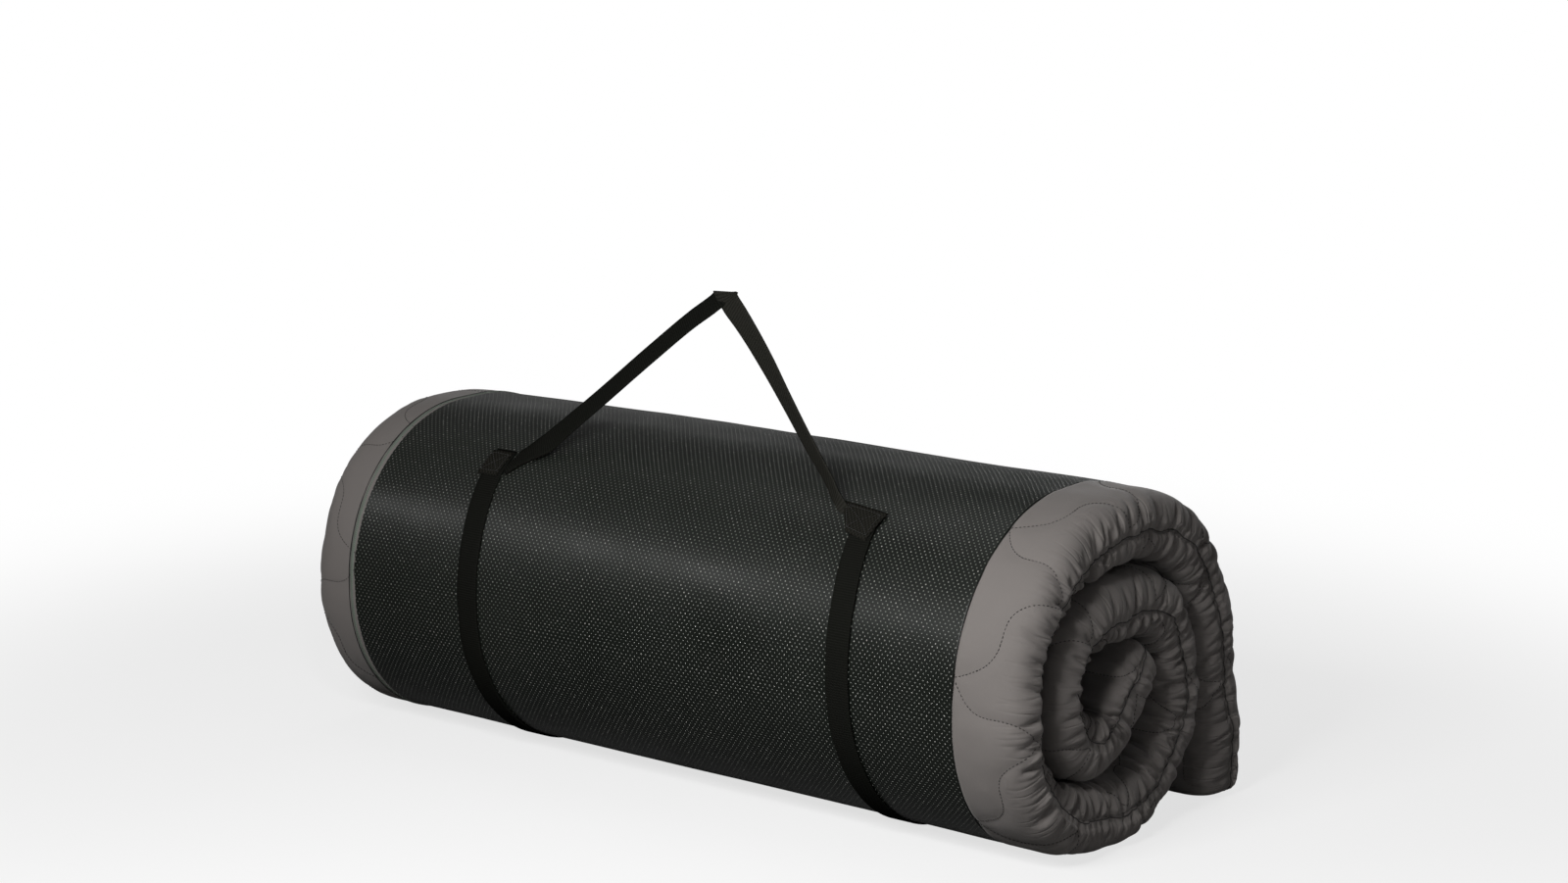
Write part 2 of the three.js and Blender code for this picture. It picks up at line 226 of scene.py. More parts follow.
class Nodes:
    """A short way to place and join shader nodes in one tree."""

    def __init__(self, tree: bpy.types.NodeTree) -> None:
        """Keep the tree.

        Args:
            tree: The node tree to build in.
        """
        self.tree = tree

    def add(self, kind: str, **settings: object) -> bpy.types.Node:
        """Place a node.

        Args:
            kind: Its type after the ShaderNode prefix.
            **settings: Properties to set on it.

        Returns:
            The node.
        """
        node = self.tree.nodes.new("ShaderNode" + kind)
        for name, value in settings.items():
            setattr(node, name, value)
        return node

    def feed(self, socket: bpy.types.NodeSocket, value: object) -> None:
        """Join a socket to another, or set it to a constant.

        Args:
            socket: The input to fill.
            value: The output socket to join, or the constant.
        """
        if isinstance(value, bpy.types.NodeSocket):
            self.tree.links.new(value, socket)
        else:
            socket.default_value = value

    def math(self, operation: str, first: object, second: object = 0.0) -> bpy.types.NodeSocket:
        """One sum on two values.

        Args:
            operation: The Math node's operation.
            first: Socket or number.
            second: Socket or number.

        Returns:
            The result's socket.
        """
        node = self.add("Math", operation=operation)
        self.feed(node.inputs[0], first)
        self.feed(node.inputs[1], second)
        return node.outputs[0]

    def spread(
        self, value: object, low: float, high: float, to_low: float = 0.0, to_high: float = 1.0
    ) -> bpy.types.NodeSocket:
        """Map a value from one range to another, smoothly and held at its ends.

        Args:
            value: Socket to map.
            low: Start of its range.
            high: End of its range.
            to_low: Result at the start.
            to_high: Result at the end.

        Returns:
            The result's socket.
        """
        node = self.add("MapRange", interpolation_type="SMOOTHSTEP")
        for socket, number in zip(node.inputs[:5], (value, low, high, to_low, to_high)):
            self.feed(socket, number)
        return node.outputs[0]

    def noise(
        self, vector: object, scale: float, detail: float = 3.0, roughness: float = 0.55
    ) -> bpy.types.NodeSocket:
        """Noise from 0 to 1.

        Args:
            vector: Coordinates, in metres.
            scale: Hills in a metre.
            detail: Finer layers on top.
            roughness: How strong the finer layers are.

        Returns:
            The value's socket.
        """
        node = self.add("TexNoise")
        self.feed(node.inputs["Vector"], vector)
        node.inputs["Scale"].default_value = scale
        node.inputs["Detail"].default_value = detail
        node.inputs["Roughness"].default_value = roughness
        return node.outputs["Fac"]

    def mix(self, share: object, first: object, second: object) -> bpy.types.NodeSocket:
        """Blend two colours.

        Args:
            share: How much of the second one.
            first: Colour at share 0.
            second: Colour at share 1.

        Returns:
            The colour's socket.
        """
        node = self.add("Mix", data_type="RGBA")
        self.feed(node.inputs[0], share)
        self.feed(node.inputs[6], first)
        self.feed(node.inputs[7], second)
        return node.outputs[2]

    def bump(self, height: object, distance: float, under: object = None) -> bpy.types.NodeSocket:
        """Bend the normal by a height.

        Args:
            height: Socket of a height from 0 to 1.
            distance: How high 1 stands, in millimetres.
            under: Socket of the normal to bend on, or None for the surface's own.

        Returns:
            The normal's socket.
        """
        node = self.add("Bump")
        node.inputs["Strength"].default_value = 1.0
        node.inputs["Distance"].default_value = distance * MM
        self.feed(node.inputs["Height"], height)
        if under is not None:
            self.feed(node.inputs["Normal"], under)
        return node.outputs[0]

    def split(self, vector: object) -> tuple:
        """Take a vector apart.

        Args:
            vector: Socket of the vector.

        Returns:
            The sockets of its x and y.
        """
        node = self.add("SeparateXYZ")
        self.feed(node.inputs[0], vector)
        return node.outputs[0], node.outputs[1]

    def group(self, tree: bpy.types.NodeTree, **values: object) -> bpy.types.Node:
        """Place a node group.

        Args:
            tree: The group's tree.
            **values: Its inputs by name, with _ for a space.

        Returns:
            The group's node.
        """
        node = self.add("Group")
        node.node_tree = tree
        for name, value in values.items():
            self.feed(node.inputs[name.replace("_", " ")], value)
        return node


class EffectGroups:
    """The shader effects that more than one finish of the mat uses."""

    patch_scale = 9.0
    grain_scale = 260.0
    pleats_across = 16.0
    pleats_along = 75.0
    pleat_sharpness = 14.0

    def __init__(self) -> None:
        """Build every group once."""
        self.weave = self._weave()
        self.dots = self._dots()
        self.wear = self._wear()
        self.pleats = self._pleats()

    @staticmethod
    def _start(name: str, inputs: dict, outputs: tuple) -> tuple:
        """Make an empty group.

        Args:
            name: The group's name.
            inputs: Input names with their defaults; None stands for a vector.
            outputs: Output names, all values.

        Returns:
            The tree, a node helper, the input node and the output node.
        """
        tree = bpy.data.node_groups.new(name, "ShaderNodeTree")
        for label, default in inputs.items():
            kind = "NodeSocketVector" if default is None else "NodeSocketFloat"
            socket = tree.interface.new_socket(label, in_out="INPUT", socket_type=kind)
            if default is not None:
                socket.default_value = default
        for label in outputs:
            tree.interface.new_socket(label, in_out="OUTPUT", socket_type="NodeSocketFloat")
        nodes = Nodes(tree)
        return tree, nodes, tree.nodes.new("NodeGroupInput"), tree.nodes.new("NodeGroupOutput")

    def _weave(self) -> bpy.types.NodeTree:
        """Threads that pass over and under each other, with a slant for twills.

        Returns:
            A group with Sheet, Across, Along and Slant inputs and a Height output.
        """
        tree, n, given, out = self._start(
            "woven_threads", {"Sheet": None, "Across": 1.0, "Along": 1.0, "Slant": 0.0}, ("Height",)
        )
        across, along = n.split(given.outputs["Sheet"])
        u = n.math("MULTIPLY", across, given.outputs["Across"])
        v = n.math("MULTIPLY", along, given.outputs["Along"])
        v = n.math("ADD", v, n.math("MULTIPLY", u, given.outputs["Slant"]))
        warp = n.math("SINE", n.math("MULTIPLY", u, math.tau))
        weft = n.math("SINE", n.math("MULTIPLY", v, math.tau))
        crossing = n.math("MULTIPLY", warp, weft)
        n.feed(out.inputs["Height"], n.math("ADD", n.math("MULTIPLY", crossing, 0.5), 0.5))
        return tree

    def _dots(self) -> bpy.types.NodeTree:
        """A staggered grid of round raised dots.

        Returns:
            A group with Sheet, Pitch, Row and Radius inputs and Height, Dot and Chance outputs.
        """
        tree, n, given, out = self._start(
            "staggered_dots",
            {"Sheet": None, "Pitch": 0.005, "Row": 0.003, "Radius": 0.001},
            ("Height", "Dot", "Chance"),
        )
        across, along = n.split(given.outputs["Sheet"])
        row = n.math("DIVIDE", along, given.outputs["Row"])
        number = n.math("ROUND", row)
        shift = n.math("MULTIPLY", n.math("MODULO", n.math("ABSOLUTE", number), 2.0), 0.5)
        place = n.math("ADD", n.math("DIVIDE", across, given.outputs["Pitch"]), shift)
        beside = n.math("MULTIPLY", n.math("SUBTRACT", place, n.math("ROUND", place)), given.outputs["Pitch"])
        above = n.math("MULTIPLY", n.math("SUBTRACT", row, number), given.outputs["Row"])
        square = n.math("ADD", n.math("MULTIPLY", beside, beside), n.math("MULTIPLY", above, above))
        share = n.math("DIVIDE", n.math("SQRT", square), given.outputs["Radius"])
        cell = n.add("CombineXYZ")
        n.feed(cell.inputs[0], n.math("ROUND", place))
        n.feed(cell.inputs[1], number)
        chance = n.add("TexWhiteNoise", noise_dimensions="2D")
        n.feed(chance.inputs["Vector"], cell.outputs[0])
        n.feed(out.inputs["Height"], n.spread(share, 0.0, 1.25, 1.0, 0.0))
        n.feed(out.inputs["Dot"], n.spread(share, 0.75, 1.1, 1.0, 0.0))
        n.feed(out.inputs["Chance"], chance.outputs["Value"])
        return tree

    def _wear(self) -> bpy.types.NodeTree:
        """Broad uneven patches with a finer grain on them.

        Returns:
            A group with a Place input and Patches and Grain outputs.
        """
        tree, n, given, out = self._start("uneven_patches", {"Place": None}, ("Patches", "Grain"))
        n.feed(out.inputs["Patches"], n.noise(given.outputs["Place"], self.patch_scale))
        n.feed(out.inputs["Grain"], n.noise(given.outputs["Place"], self.grain_scale, 4.0, 0.65))
        return tree

    def _pleats(self) -> bpy.types.NodeTree:
        """Small sharp creases that run towards the side seam, stronger near it.

        Returns:
            A group with Sheet, From and To inputs and a Height output.
        """
        tree, n, given, out = self._start(
            "seam_pleats", {"Sheet": None, "From": 0.4, "To": 0.45}, ("Height",)
        )
        across, along = n.split(given.outputs["Sheet"])
        place = n.add("CombineXYZ")
        n.feed(place.inputs[0], n.math("MULTIPLY", across, self.pleats_across))
        n.feed(place.inputs[1], n.math("MULTIPLY", along, self.pleats_along))
        wave = n.noise(place.outputs[0], 1.0, 1.5, 0.5)
        fall = n.math("ABSOLUTE", n.math("SUBTRACT", wave, 0.5))
        ridge = n.math("MINIMUM", n.math("MULTIPLY", fall, self.pleat_sharpness), 1.0)
        reach = n.math("ABSOLUTE", across)
        near = n.spread(reach, given.outputs["From"], given.outputs["To"])
        n.feed(out.inputs["Height"], n.math("MULTIPLY", ridge, near))
        return tree


@dataclass(frozen=True)
class Finish:
    """What every finish has: a name, the record's slot and a colour."""

    name: str
    slot: str
    colour: tuple
    roughness: float

    def start(self) -> tuple:
        """Make the material and its shader.

        Returns:
            The material, a node helper, the Principled node and the sheet coordinates.
        """
        material = bpy.data.materials.new(self.name)
        material.use_nodes = True
        tree = material.node_tree
        tree.nodes.clear()
        nodes = Nodes(tree)
        shader = nodes.add("BsdfPrincipled")
        out = nodes.add("OutputMaterial")
        tree.links.new(shader.outputs[0], out.inputs[0])
        shader.inputs["Roughness"].default_value = self.roughness
        shader.inputs["Base Color"].default_value = (*self.colour, 1.0)
        sheet = nodes.add("Attribute", attribute_name=SHEET_POINTS).outputs["Vector"]
        return material, nodes, shader, sheet

    def uneven(self, n: Nodes, value: object, smoother: float, rougher: float) -> bpy.types.NodeSocket:
        """Roughness that varies a little over the surface.

        Args:
            n: The node helper.
            value: Socket of the patches or the grain that it follows.
            smoother: How far it goes under the finish's own roughness.
            rougher: How far it goes over it, up to 1.

        Returns:
            The roughness's socket.
        """
        return n.spread(value, 0.3, 0.7, self.roughness - smoother, min(1.0, self.roughness + rougher))

    def shade(self, factor: float) -> tuple:
        """The finish's colour, lighter or darker by a factor."""
        return (*(min(1.0, c * factor) for c in self.colour), 1.0)


@dataclass(frozen=True)
class WovenFinish(Finish):
    """Cloth or webbing, woven from threads of its own size, with painted shade darkening the low spots of the
    weave.
    """

    across: float = 1000.0
    along: float = 1000.0
    slant: float = 0.0
    relief: float = 0.1
    hollow_shade: float = 0.2
    crumple: float = 0.0
    crumple_scale: float = 95.0
    pleat: float = 0.0
    sheen: float = 0.0
    sheen_roughness: float = 0.45
    shine: float = 0.2

    def material(self, groups: EffectGroups) -> bpy.types.Material:
        """Make the cloth's material.

        Args:
            groups: The shared effects.

        Returns:
            The material.
        """
        material, n, shader, sheet = self.start()
        weave = n.group(groups.weave, Sheet=sheet, Across=self.across, Along=self.along, Slant=self.slant)
        place = n.add("NewGeometry").outputs["Position"]
        wear = n.group(groups.wear, Place=place)
        threads = n.spread(weave.outputs["Height"], 0.0, 1.0, 1.0, 0.0)
        tone = n.mix(wear.outputs["Patches"], self.shade(0.9), self.shade(1.1))
        # Painted shade: the colour darkens where the weave's height is low, between the threads.
        dark = n.mix(n.math("MULTIPLY", threads, self.hollow_shade), tone, self.shade(0.35))
        n.feed(shader.inputs["Base Color"], dark)
        n.feed(shader.inputs["Roughness"], self.uneven(n, wear.outputs["Grain"], 0.05, 0.05))
        shader.inputs["Sheen Weight"].default_value = self.sheen
        shader.inputs["Sheen Roughness"].default_value = self.sheen_roughness
        shader.inputs["Specular IOR Level"].default_value = self.shine
        under = None
        if self.crumple:
            pleats = n.group(groups.pleats, Sheet=sheet)
            sharp = n.bump(pleats.outputs["Height"], self.pleat)
            under = n.bump(n.noise(place, self.crumple_scale, 2.0, 0.5), self.crumple, sharp)
        n.feed(shader.inputs["Normal"], n.bump(weave.outputs["Height"], self.relief, under))
        return material


@dataclass(frozen=True)
class DottedSheetFinish(Finish):
    """Smooth coated sheet with a staggered grid of glossy dots, lighter in colour: partly their own paler
    colour and partly painted glint; a random few carry a brighter painted glint.
    """

    shine: float = 0.3
    # Dot colours: the first is partly the dots' own paler colour and partly painted glint, the second is
    # painted glint only.
    dot_tone_and_glint: tuple = (0.2, 0.21, 0.19)
    painted_glint_dot: tuple = (0.42, 0.42, 0.39)
    pitch: float = 5.3 * MM
    row: float = 3.08 * MM
    radius: float = 0.68 * MM
    relief: float = 0.45
    grain_relief: float = 0.02
    dot_polish: float = 0.2

    def material(self, groups: EffectGroups) -> bpy.types.Material:
        """Make the coated sheet's material.

        Args:
            groups: The shared effects.

        Returns:
            The material.
        """
        material, n, shader, sheet = self.start()
        dots = n.group(groups.dots, Sheet=sheet, Pitch=self.pitch, Row=self.row, Radius=self.radius)
        place = n.add("NewGeometry").outputs["Position"]
        wear = n.group(groups.wear, Place=place)
        tone = n.mix(wear.outputs["Patches"], self.shade(0.8), self.shade(1.25))
        # Every dot's lighter colour is partly its own and partly painted glint; a random few get a brighter
        # painted glint in place of the lamps' highlights.
        painted_glint_share = n.spread(dots.outputs["Chance"], 0.8, 1.0)
        bright = n.mix(painted_glint_share, (*self.dot_tone_and_glint, 1.0), (*self.painted_glint_dot, 1.0))
        n.feed(shader.inputs["Base Color"], n.mix(dots.outputs["Dot"], tone, bright))
        matt = self.uneven(n, wear.outputs["Patches"], 0.04, 0.05)
        polish = n.math("MULTIPLY", dots.outputs["Dot"], self.dot_polish)
        n.feed(shader.inputs["Roughness"], n.math("SUBTRACT", matt, polish))
        shader.inputs["Specular IOR Level"].default_value = self.shine
        grain = n.bump(wear.outputs["Grain"], self.grain_relief)
        n.feed(shader.inputs["Normal"], n.bump(dots.outputs["Height"], self.relief, grain))
        return material


@dataclass(frozen=True)
class PileFinish(Finish):
    """The short pile of hook-and-loop pads, and twisted thread, with colour that follows its bumps: painted
    shade in their low spots and painted highlight on their tips.
    """

    pile: float = 1800.0
    relief: float = 0.3

    def material(self, groups: EffectGroups) -> bpy.types.Material:
        """Make the pile's material.

        Args:
            groups: The shared effects.

        Returns:
            The material.
        """
        material, n, shader, _ = self.start()
        place = n.add("NewGeometry").outputs["Position"]
        wear = n.group(groups.wear, Place=place)
        tufts = n.noise(place, self.pile, 2.0, 0.6)
        # Painted shade and highlight: the same noise raises the pile, darkens its low spots and lightens its
        # tips.
        n.feed(shader.inputs["Base Color"], n.mix(tufts, self.shade(0.6), self.shade(1.5)))
        n.feed(shader.inputs["Roughness"], self.uneven(n, wear.outputs["Grain"], 0.04, 0.04))
        n.feed(shader.inputs["Normal"], n.bump(tufts, self.relief))
        return material


class Palette:
    """Every material of the mat, made once."""

    def __init__(self, groups: EffectGroups) -> None:
        """Make the materials.

        Args:
            groups: The shared effects.
        """
        cloth = WovenFinish(
            "grey_quilted_cloth", "cover_fabric", (0.2, 0.183, 0.173), 0.88,
            across=1450.0, along=1450.0, relief=0.05, hollow_shade=0.22, crumple=0.22, pleat=0.7, sheen=0.12,
        )
        webbing = WovenFinish(
            "black_webbing", "webbing", (0.012, 0.0125, 0.0106), 0.8,
            across=330.0, along=420.0, slant=1.0, relief=0.2, hollow_shade=0.8, shine=0.0,
        )
        # Lighter copy of the webbing for the handle's back: partly its own lighter back, partly painted light
        # for the lit right leg that shows it.
        handle = WovenFinish(
            "black_handle_back", "webbing", (0.03, 0.0295, 0.025), 0.8,
            across=330.0, along=300.0, slant=1.0, relief=0.2, hollow_shade=0.8, shine=0.0,
        )
        # The anchor's webbing is lighter than the bands: partly its own coarser, browner webbing, partly
        # painted light, as it faces up into the light.
        anchor = WovenFinish(
            "black_anchor_webbing", "webbing", (0.021, 0.0207, 0.0175), 0.8,
            across=270.0, along=270.0, relief=0.5, hollow_shade=0.9, shine=0.0,
        )
        selvage = WovenFinish(
            "ribbed_edge_strip", "selvage", (0.19, 0.22, 0.185), 0.7,
            across=300.0, along=520.0, relief=0.4, hollow_shade=0.6,
        )
        panel = DottedSheetFinish("black_dotted_sheet", "base_pvc", (0.006, 0.0076, 0.0058), 0.36)
        self.cloth = cloth.material(groups)
        self.webbing = webbing.material(groups)
        self.handle_face = replace(webbing, name="black_handle_face").material(groups)
        self.handle_back_and_painted_light = handle.material(groups)
        self.anchor = anchor.material(groups)
        self.selvage = selvage.material(groups)
        self.panel = panel.material(groups)
        self.pile = PileFinish("black_pile", "hook_and_loop", (0.014, 0.014, 0.015), 0.95).material(groups)
        self.grey_thread = PileFinish(
            "grey_thread", "cover_fabric", (0.035, 0.032, 0.03), 0.8, 3000.0, 0.08
        ).material(groups)
        self.black_thread = PileFinish(
            "black_thread", "webbing", (0.008, 0.008, 0.007), 0.7, 3000.0, 0.08
        ).material(groups)


def dress(piece: bpy.types.Object, material: bpy.types.Material) -> bpy.types.Object:
    """Give a piece its material.

    Args:
        piece: The object.
        material: Its material.

    Returns:
        The same object.
    """
    piece.data.materials.clear()
    piece.data.materials.append(material)
    LOG.info("%s: %d faces", piece.name, len(piece.data.polygons))
    return piece


# The roll


@dataclass
class RollPath:
    """The line that the middle of the mat's thickness follows, seen along X.

    Four turns on their own centres make a wrap, so that neighbouring wraps lie one pitch apart.
    """

    half_thickness: float = 31.95 * MM
    wrap_pitch: float = 65.4 * MM
    core_radius: float = 47 * MM
    flat_run: float = 32 * MM
    rise_run: float = 12.5 * MM
    core_turn: float = 75
    curl_radius: float = 36 * MM
    curl_turn: float = 65
    core_run: float = 79 * MM
    tail_lean: float = 15
    tail_run: float = 20 * MM
    tail_bend_radius: float = 400 * MM
    barrel: float = 2.6 * MM
    barrel_reach: float = 415 * MM
    roll_radius: float = 159 * MM
    roll_middle: tuple = (-34 * MM, 161 * MM)
    end_swell: tuple = (
        (0, 0), (180, 1), (270, 4), (370, 3.5), (480, 0), (780, 1), (860, 4), (910, 8), (960, 8), (1000, 4),
        (1040, 0),
    )
    swell_from: float = 200 * MM
    swell_reach: float = 170 * MM

    def __post_init__(self) -> None:
        """Lay the pieces end to end and set the line over the solids."""
        self.starts, self.length = self._walk(0.0)
        self.starts, self.length = self._walk(self.half_thickness - self._start_of("outer_bottom")[2])
        box_low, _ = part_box("base_panel")
        front = self._start_of("outer_front")[1] - self.half_thickness
        floor = self._start_of("outer_bottom")[2] - self.half_thickness
        self.shift = (box_low.y - front, box_low.z - floor)

    def _walk(self, foot: float) -> tuple:
        """Note where each piece of the line starts.

        Args:
            foot: Length of the upright run at the tail's foot.

        Returns:
            Rows of name, y, z, heading, radius, start length; and the whole length.
        """
        radius = [self.core_radius + quarter * self.wrap_pitch / 4 for quarter in range(7)]
        pieces = [
            ("foot", 0, foot), ("tail_bend", self.tail_bend_radius, self.tail_lean),
            ("tail", 0, self.tail_run), ("outer_back", radius[6], 90 - self.tail_lean),
            ("outer_top", 0, self.flat_run), ("outer_front_top", radius[5], 90),
            ("outer_front", 0, self.rise_run), ("outer_front_bottom", radius[4], 90),
            ("outer_bottom", 0, self.flat_run), ("inner_back_bottom", radius[3], 90),
            ("inner_back", 0, self.rise_run), ("inner_back_top", radius[2], 90),
            ("inner_top", 0, self.flat_run), ("inner_front_top", radius[1], 90),
            ("inner_front", 0, self.rise_run), ("core_turn", radius[0], self.core_turn),
            ("curl", self.curl_radius, self.curl_turn), ("core_end", 0, self.core_run),
        ]
        y = z = s = 0.0
        heading = math.radians(90)
        rows = []
        for name, bend, size in pieces:
            rows.append((name, y, z, heading, bend, s))
            if bend:
                after = heading + math.radians(size)
                y += bend * (math.sin(after) - math.sin(heading))
                z += bend * (math.cos(heading) - math.cos(after))
                s += bend * math.radians(size)
                heading = after
            else:
                y += size * math.cos(heading)
                z += size * math.sin(heading)
                s += size
        return rows, s

    def _start_of(self, name: str) -> tuple:
        """The row of one piece of the line."""
        return next(row for row in self.starts if row[0] == name)

    def _piece_at(self, s: Array) -> Array:
        """The rows, without their names, of the pieces that hold lengths s."""
        table = np.array([row[1:] for row in self.starts])
        return table[np.clip(np.searchsorted(table[:, 4], s, side="right") - 1, 0, len(table) - 1)]

    def start_length(self, name: str, turn: float = 0.0) -> float:
        """Length along the line at a turn, in degrees, from the start of one of its pieces."""
        row = self._start_of(name)
        return row[5] + row[4] * math.radians(turn)

    def outer_lengths(self, s: Array) -> Array:
        """Lengths along the outside of the roll, from 0 at the first of the lengths s."""
        stretch = 1 + self.half_thickness * self.bend_at(s)[:-1]
        return np.concatenate([[0], np.cumsum(np.diff(s) * stretch)])

    def foot(self) -> tuple:
        """The y and z of the line's start, at the tail's foot."""
        y, z, _, _ = self.at(np.array([0.0]))
        return float(y[0]), float(z[0])

    def at(self, s: Array) -> tuple:
        """Places and headings on the line.

        Args:
            s: Lengths from the tail's foot.

        Returns:
            Arrays y, z and the heading's cosine and sine.
        """
        s = np.asarray(s, float)
        y0, z0, a, bend, start = np.moveaxis(self._piece_at(s), -1, 0)
        along = s - start
        curved = bend > 0
        b = a + np.where(curved, along / np.where(curved, bend, 1), 0)
        straight = np.where(curved, 0, along)
        y = y0 + straight * np.cos(a) + bend * (np.sin(b) - np.sin(a)) + self.shift[0]
        z = z0 + straight * np.sin(a) + bend * (np.cos(a) - np.cos(b)) + self.shift[1]
        return y, z, np.cos(b), np.sin(b)

    def bend_at(self, s: Array) -> Array:
        """Curvature of the line, one over its radius, at lengths s."""
        bend = self._piece_at(s)[..., 3]
        return np.where(bend > 0, 1 / np.where(bend > 0, bend, 1), 0)

    def place(self, x: Array, n: Array, s: Array) -> Array:
        """Points at x, a height n outwards from the line, at lengths s.

        Args:
            x: Places along the roll.
            n: Heights over the middle of the thickness.
            s: Lengths along the line.

        Returns:
            Points in the shared frame.
        """
        y, z, cosine, sine = self.at(s)
        knots = np.array(self.end_swell) * MM
        out = np.interp(s, *knots.T) * smooth_step((x - self.swell_from) / self.swell_reach)
        n = n + out
        x, y, z = np.broadcast_arrays(x, y + n * sine, z - n * cosine)
        return self.settle(np.stack([x, y, z], -1))

    def facing(self, s: Array) -> Array:
        """The outward direction at lengths s."""
        _, _, cosine, sine = self.at(s)
        return np.stack([np.zeros_like(sine), sine, -cosine], -1)

    def settle(self, points: Array) -> Array:
        """Let the roll swell a little towards its middle, standing on the same floor.

        Args:
            points: Points in the shared frame.

        Returns:
            The moved points.
        """
        share = np.clip(np.abs(points[..., 0]) / self.barrel_reach, 0, 1)
        swell = self.barrel * (1 - share**2) / self.roll_radius
        moved = points.copy()
        moved[..., 1] += swell * (points[..., 1] - self.roll_middle[0])
        moved[..., 2] += swell * (points[..., 2] - self.roll_middle[1] + self.roll_radius)
        return moved


@dataclass
class QuiltCurves:
    """The ogee quilting of the covers, in sheet coordinates: across from the middle, and along."""

    node_across: float = 363 * MM
    step_across: float = 84 * MM
    period: float = 148 * MM
    node_along: float = 530 * MM
    rise: float = 60 * MM
    columns: int = 4
    samples: int = 40

    def lines(self, length: float) -> list:
        """Every quilting line of one half of a cover.

        Args:
            length: The cover's length.

        Returns:
            Arrays of points (across, along), one for each line.
        """
        t = np.linspace(0, 1, self.samples)
        ease = 0.5 + 4 * (t - 0.5) ** 3  # an S curve, steep at its ends
        made = []
        for column in range(self.columns):
            inner = self.node_across + (1 - column) * self.step_across
            outer = inner - self.step_across
            if column % 2 == 0:
                inner, outer = outer, inner
            first = self.node_along % self.period - 2 * self.period
            for k in range(int(length / self.period) + 5):
                node = first + k * self.period
                made.append(np.stack([inner + (outer - inner) * t, node + self.rise * ease], -1))
                back = node - (self.period - self.rise) * t
                made.append(np.stack([inner + (outer - inner) * ease, back], -1))
        return [line for line in made if line[:, 1].max() > 0 and line[:, 1].min() < length]


@dataclass
class Fold:
    """One gather that runs in from a seam, or one crease across a cover."""

    along: float
    slant: float
    width: float
    depth: float
    reach: float
    start: float = 0.0


@dataclass(frozen=True)
class FoldLayer:
    """How one kind of gather is scattered along a seam: the five ranges are in millimetres."""

    spacing: tuple
    depth: tuple
    width: tuple
    reach: tuple
    start: tuple
    slant: float
    first: float = 4 * MM
    tight_bend: float = 10.0
    closer_in_bends: float = 0.2
    depth_when_flat: float = 0.6
    tail_end: float = 240 * MM
    tail_slant: float = 0.4

    def scatter(self, path: RollPath, face: Face, chance: np.random.Generator) -> list:
        """Lay the gathers along one seam, closer and deeper where the roll bends.

        Args:
            path: The roll's line.
            face: The cover's face.
            chance: The random source.

        Returns:
            The folds.
        """
        bend_depth, length = FACE_GATHERS[face]
        folds = []
        s = self.first
        while s < path.length:
            squeeze = min(1.0, float(path.bend_at(np.array([s]))[0]) / self.tight_bend)
            s += chance.uniform(*self.spacing) * (1.0 - self.closer_in_bends * squeeze) * MM
            lean = self.tail_slant * face.value if s < self.tail_end else 0.0
            folds.append(
                Fold(
                    s,
                    chance.uniform(-self.slant, self.slant) + lean,
                    chance.uniform(*self.width) * MM,
                    chance.uniform(*self.depth) * (self.depth_when_flat + bend_depth * squeeze) * MM,
                    chance.uniform(*self.reach) * length * MM,
                    chance.uniform(*self.start) * MM,
                )
            )
        return folds


# For each face: how much deeper its gathers are in bends, and how far they reach.
FACE_GATHERS = {Face.TOP: (0.7, 1.0), Face.BASE: (0.4, 0.7)}
@dataclass(frozen=True)
class CreaseLayer:
    """How creases are scattered over the top face, where the roll squeezes it: ranges are in millimetres."""

    spacing: tuple = (16, 30)
    depth: tuple = (2.0, 4.5)
    width: tuple = (3.5, 6.5)
    middle: tuple = (300, 400)
    half_length: tuple = (50, 120)
    slant: float = 0.25
    first: float = 60 * MM
    tight_radius: float = 80 * MM
    seed: int = 5

    def scatter(self, path: RollPath) -> list:
        """Lay the creases, closer and deeper where the roll bends.

        Args:
            path: The roll's line.

        Returns:
            For each crease, its fold, its middle across the sheet and its half length.
        """
        chance = np.random.default_rng(self.seed)
        made = []
        s = self.first
        while s < path.length:
            squeeze = min(1.0, float(path.bend_at(np.array([s]))[0]) * self.tight_radius)
            s += chance.uniform(*self.spacing) * (1.6 - squeeze) * MM
            for hand in Hand:
                middle = hand.value * chance.uniform(*self.middle) * MM
                half = chance.uniform(*self.half_length) * MM
                depth = chance.uniform(*self.depth) * (0.4 + squeeze) * MM
                slant = chance.uniform(-self.slant, self.slant)
                made.append((Fold(s, slant, chance.uniform(*self.width) * MM, depth, 0), middle, half))
        return made


CREASES = CreaseLayer()
PILLOWS = FoldLayer((16, 30), (2.4, 5.0), (5.0, 8.0), (18, 44), (0, 6), 0.35)
TUCKS = FoldLayer((8, 20), (2.6, 6.6), (2.0, 3.4), (10, 36), (0, 8), 0.4)


def fold_profile(gap: Array) -> Array:
    """The section of a fold: a sharp bottom in a soft one, and a raised lip beside them.

    Args:
        gap: Distances from the fold's line, in half widths.

    Returns:
        Depths, as shares of the fold's whole depth.
    """
    soft = 0.3 * np.exp(-(gap**1.6))
    sharp = 0.7 * np.exp(-3.4 * gap)
    lip = 0.18 * np.exp(-(((gap - 2.0) / 0.9) ** 2))
    return soft + sharp - lip


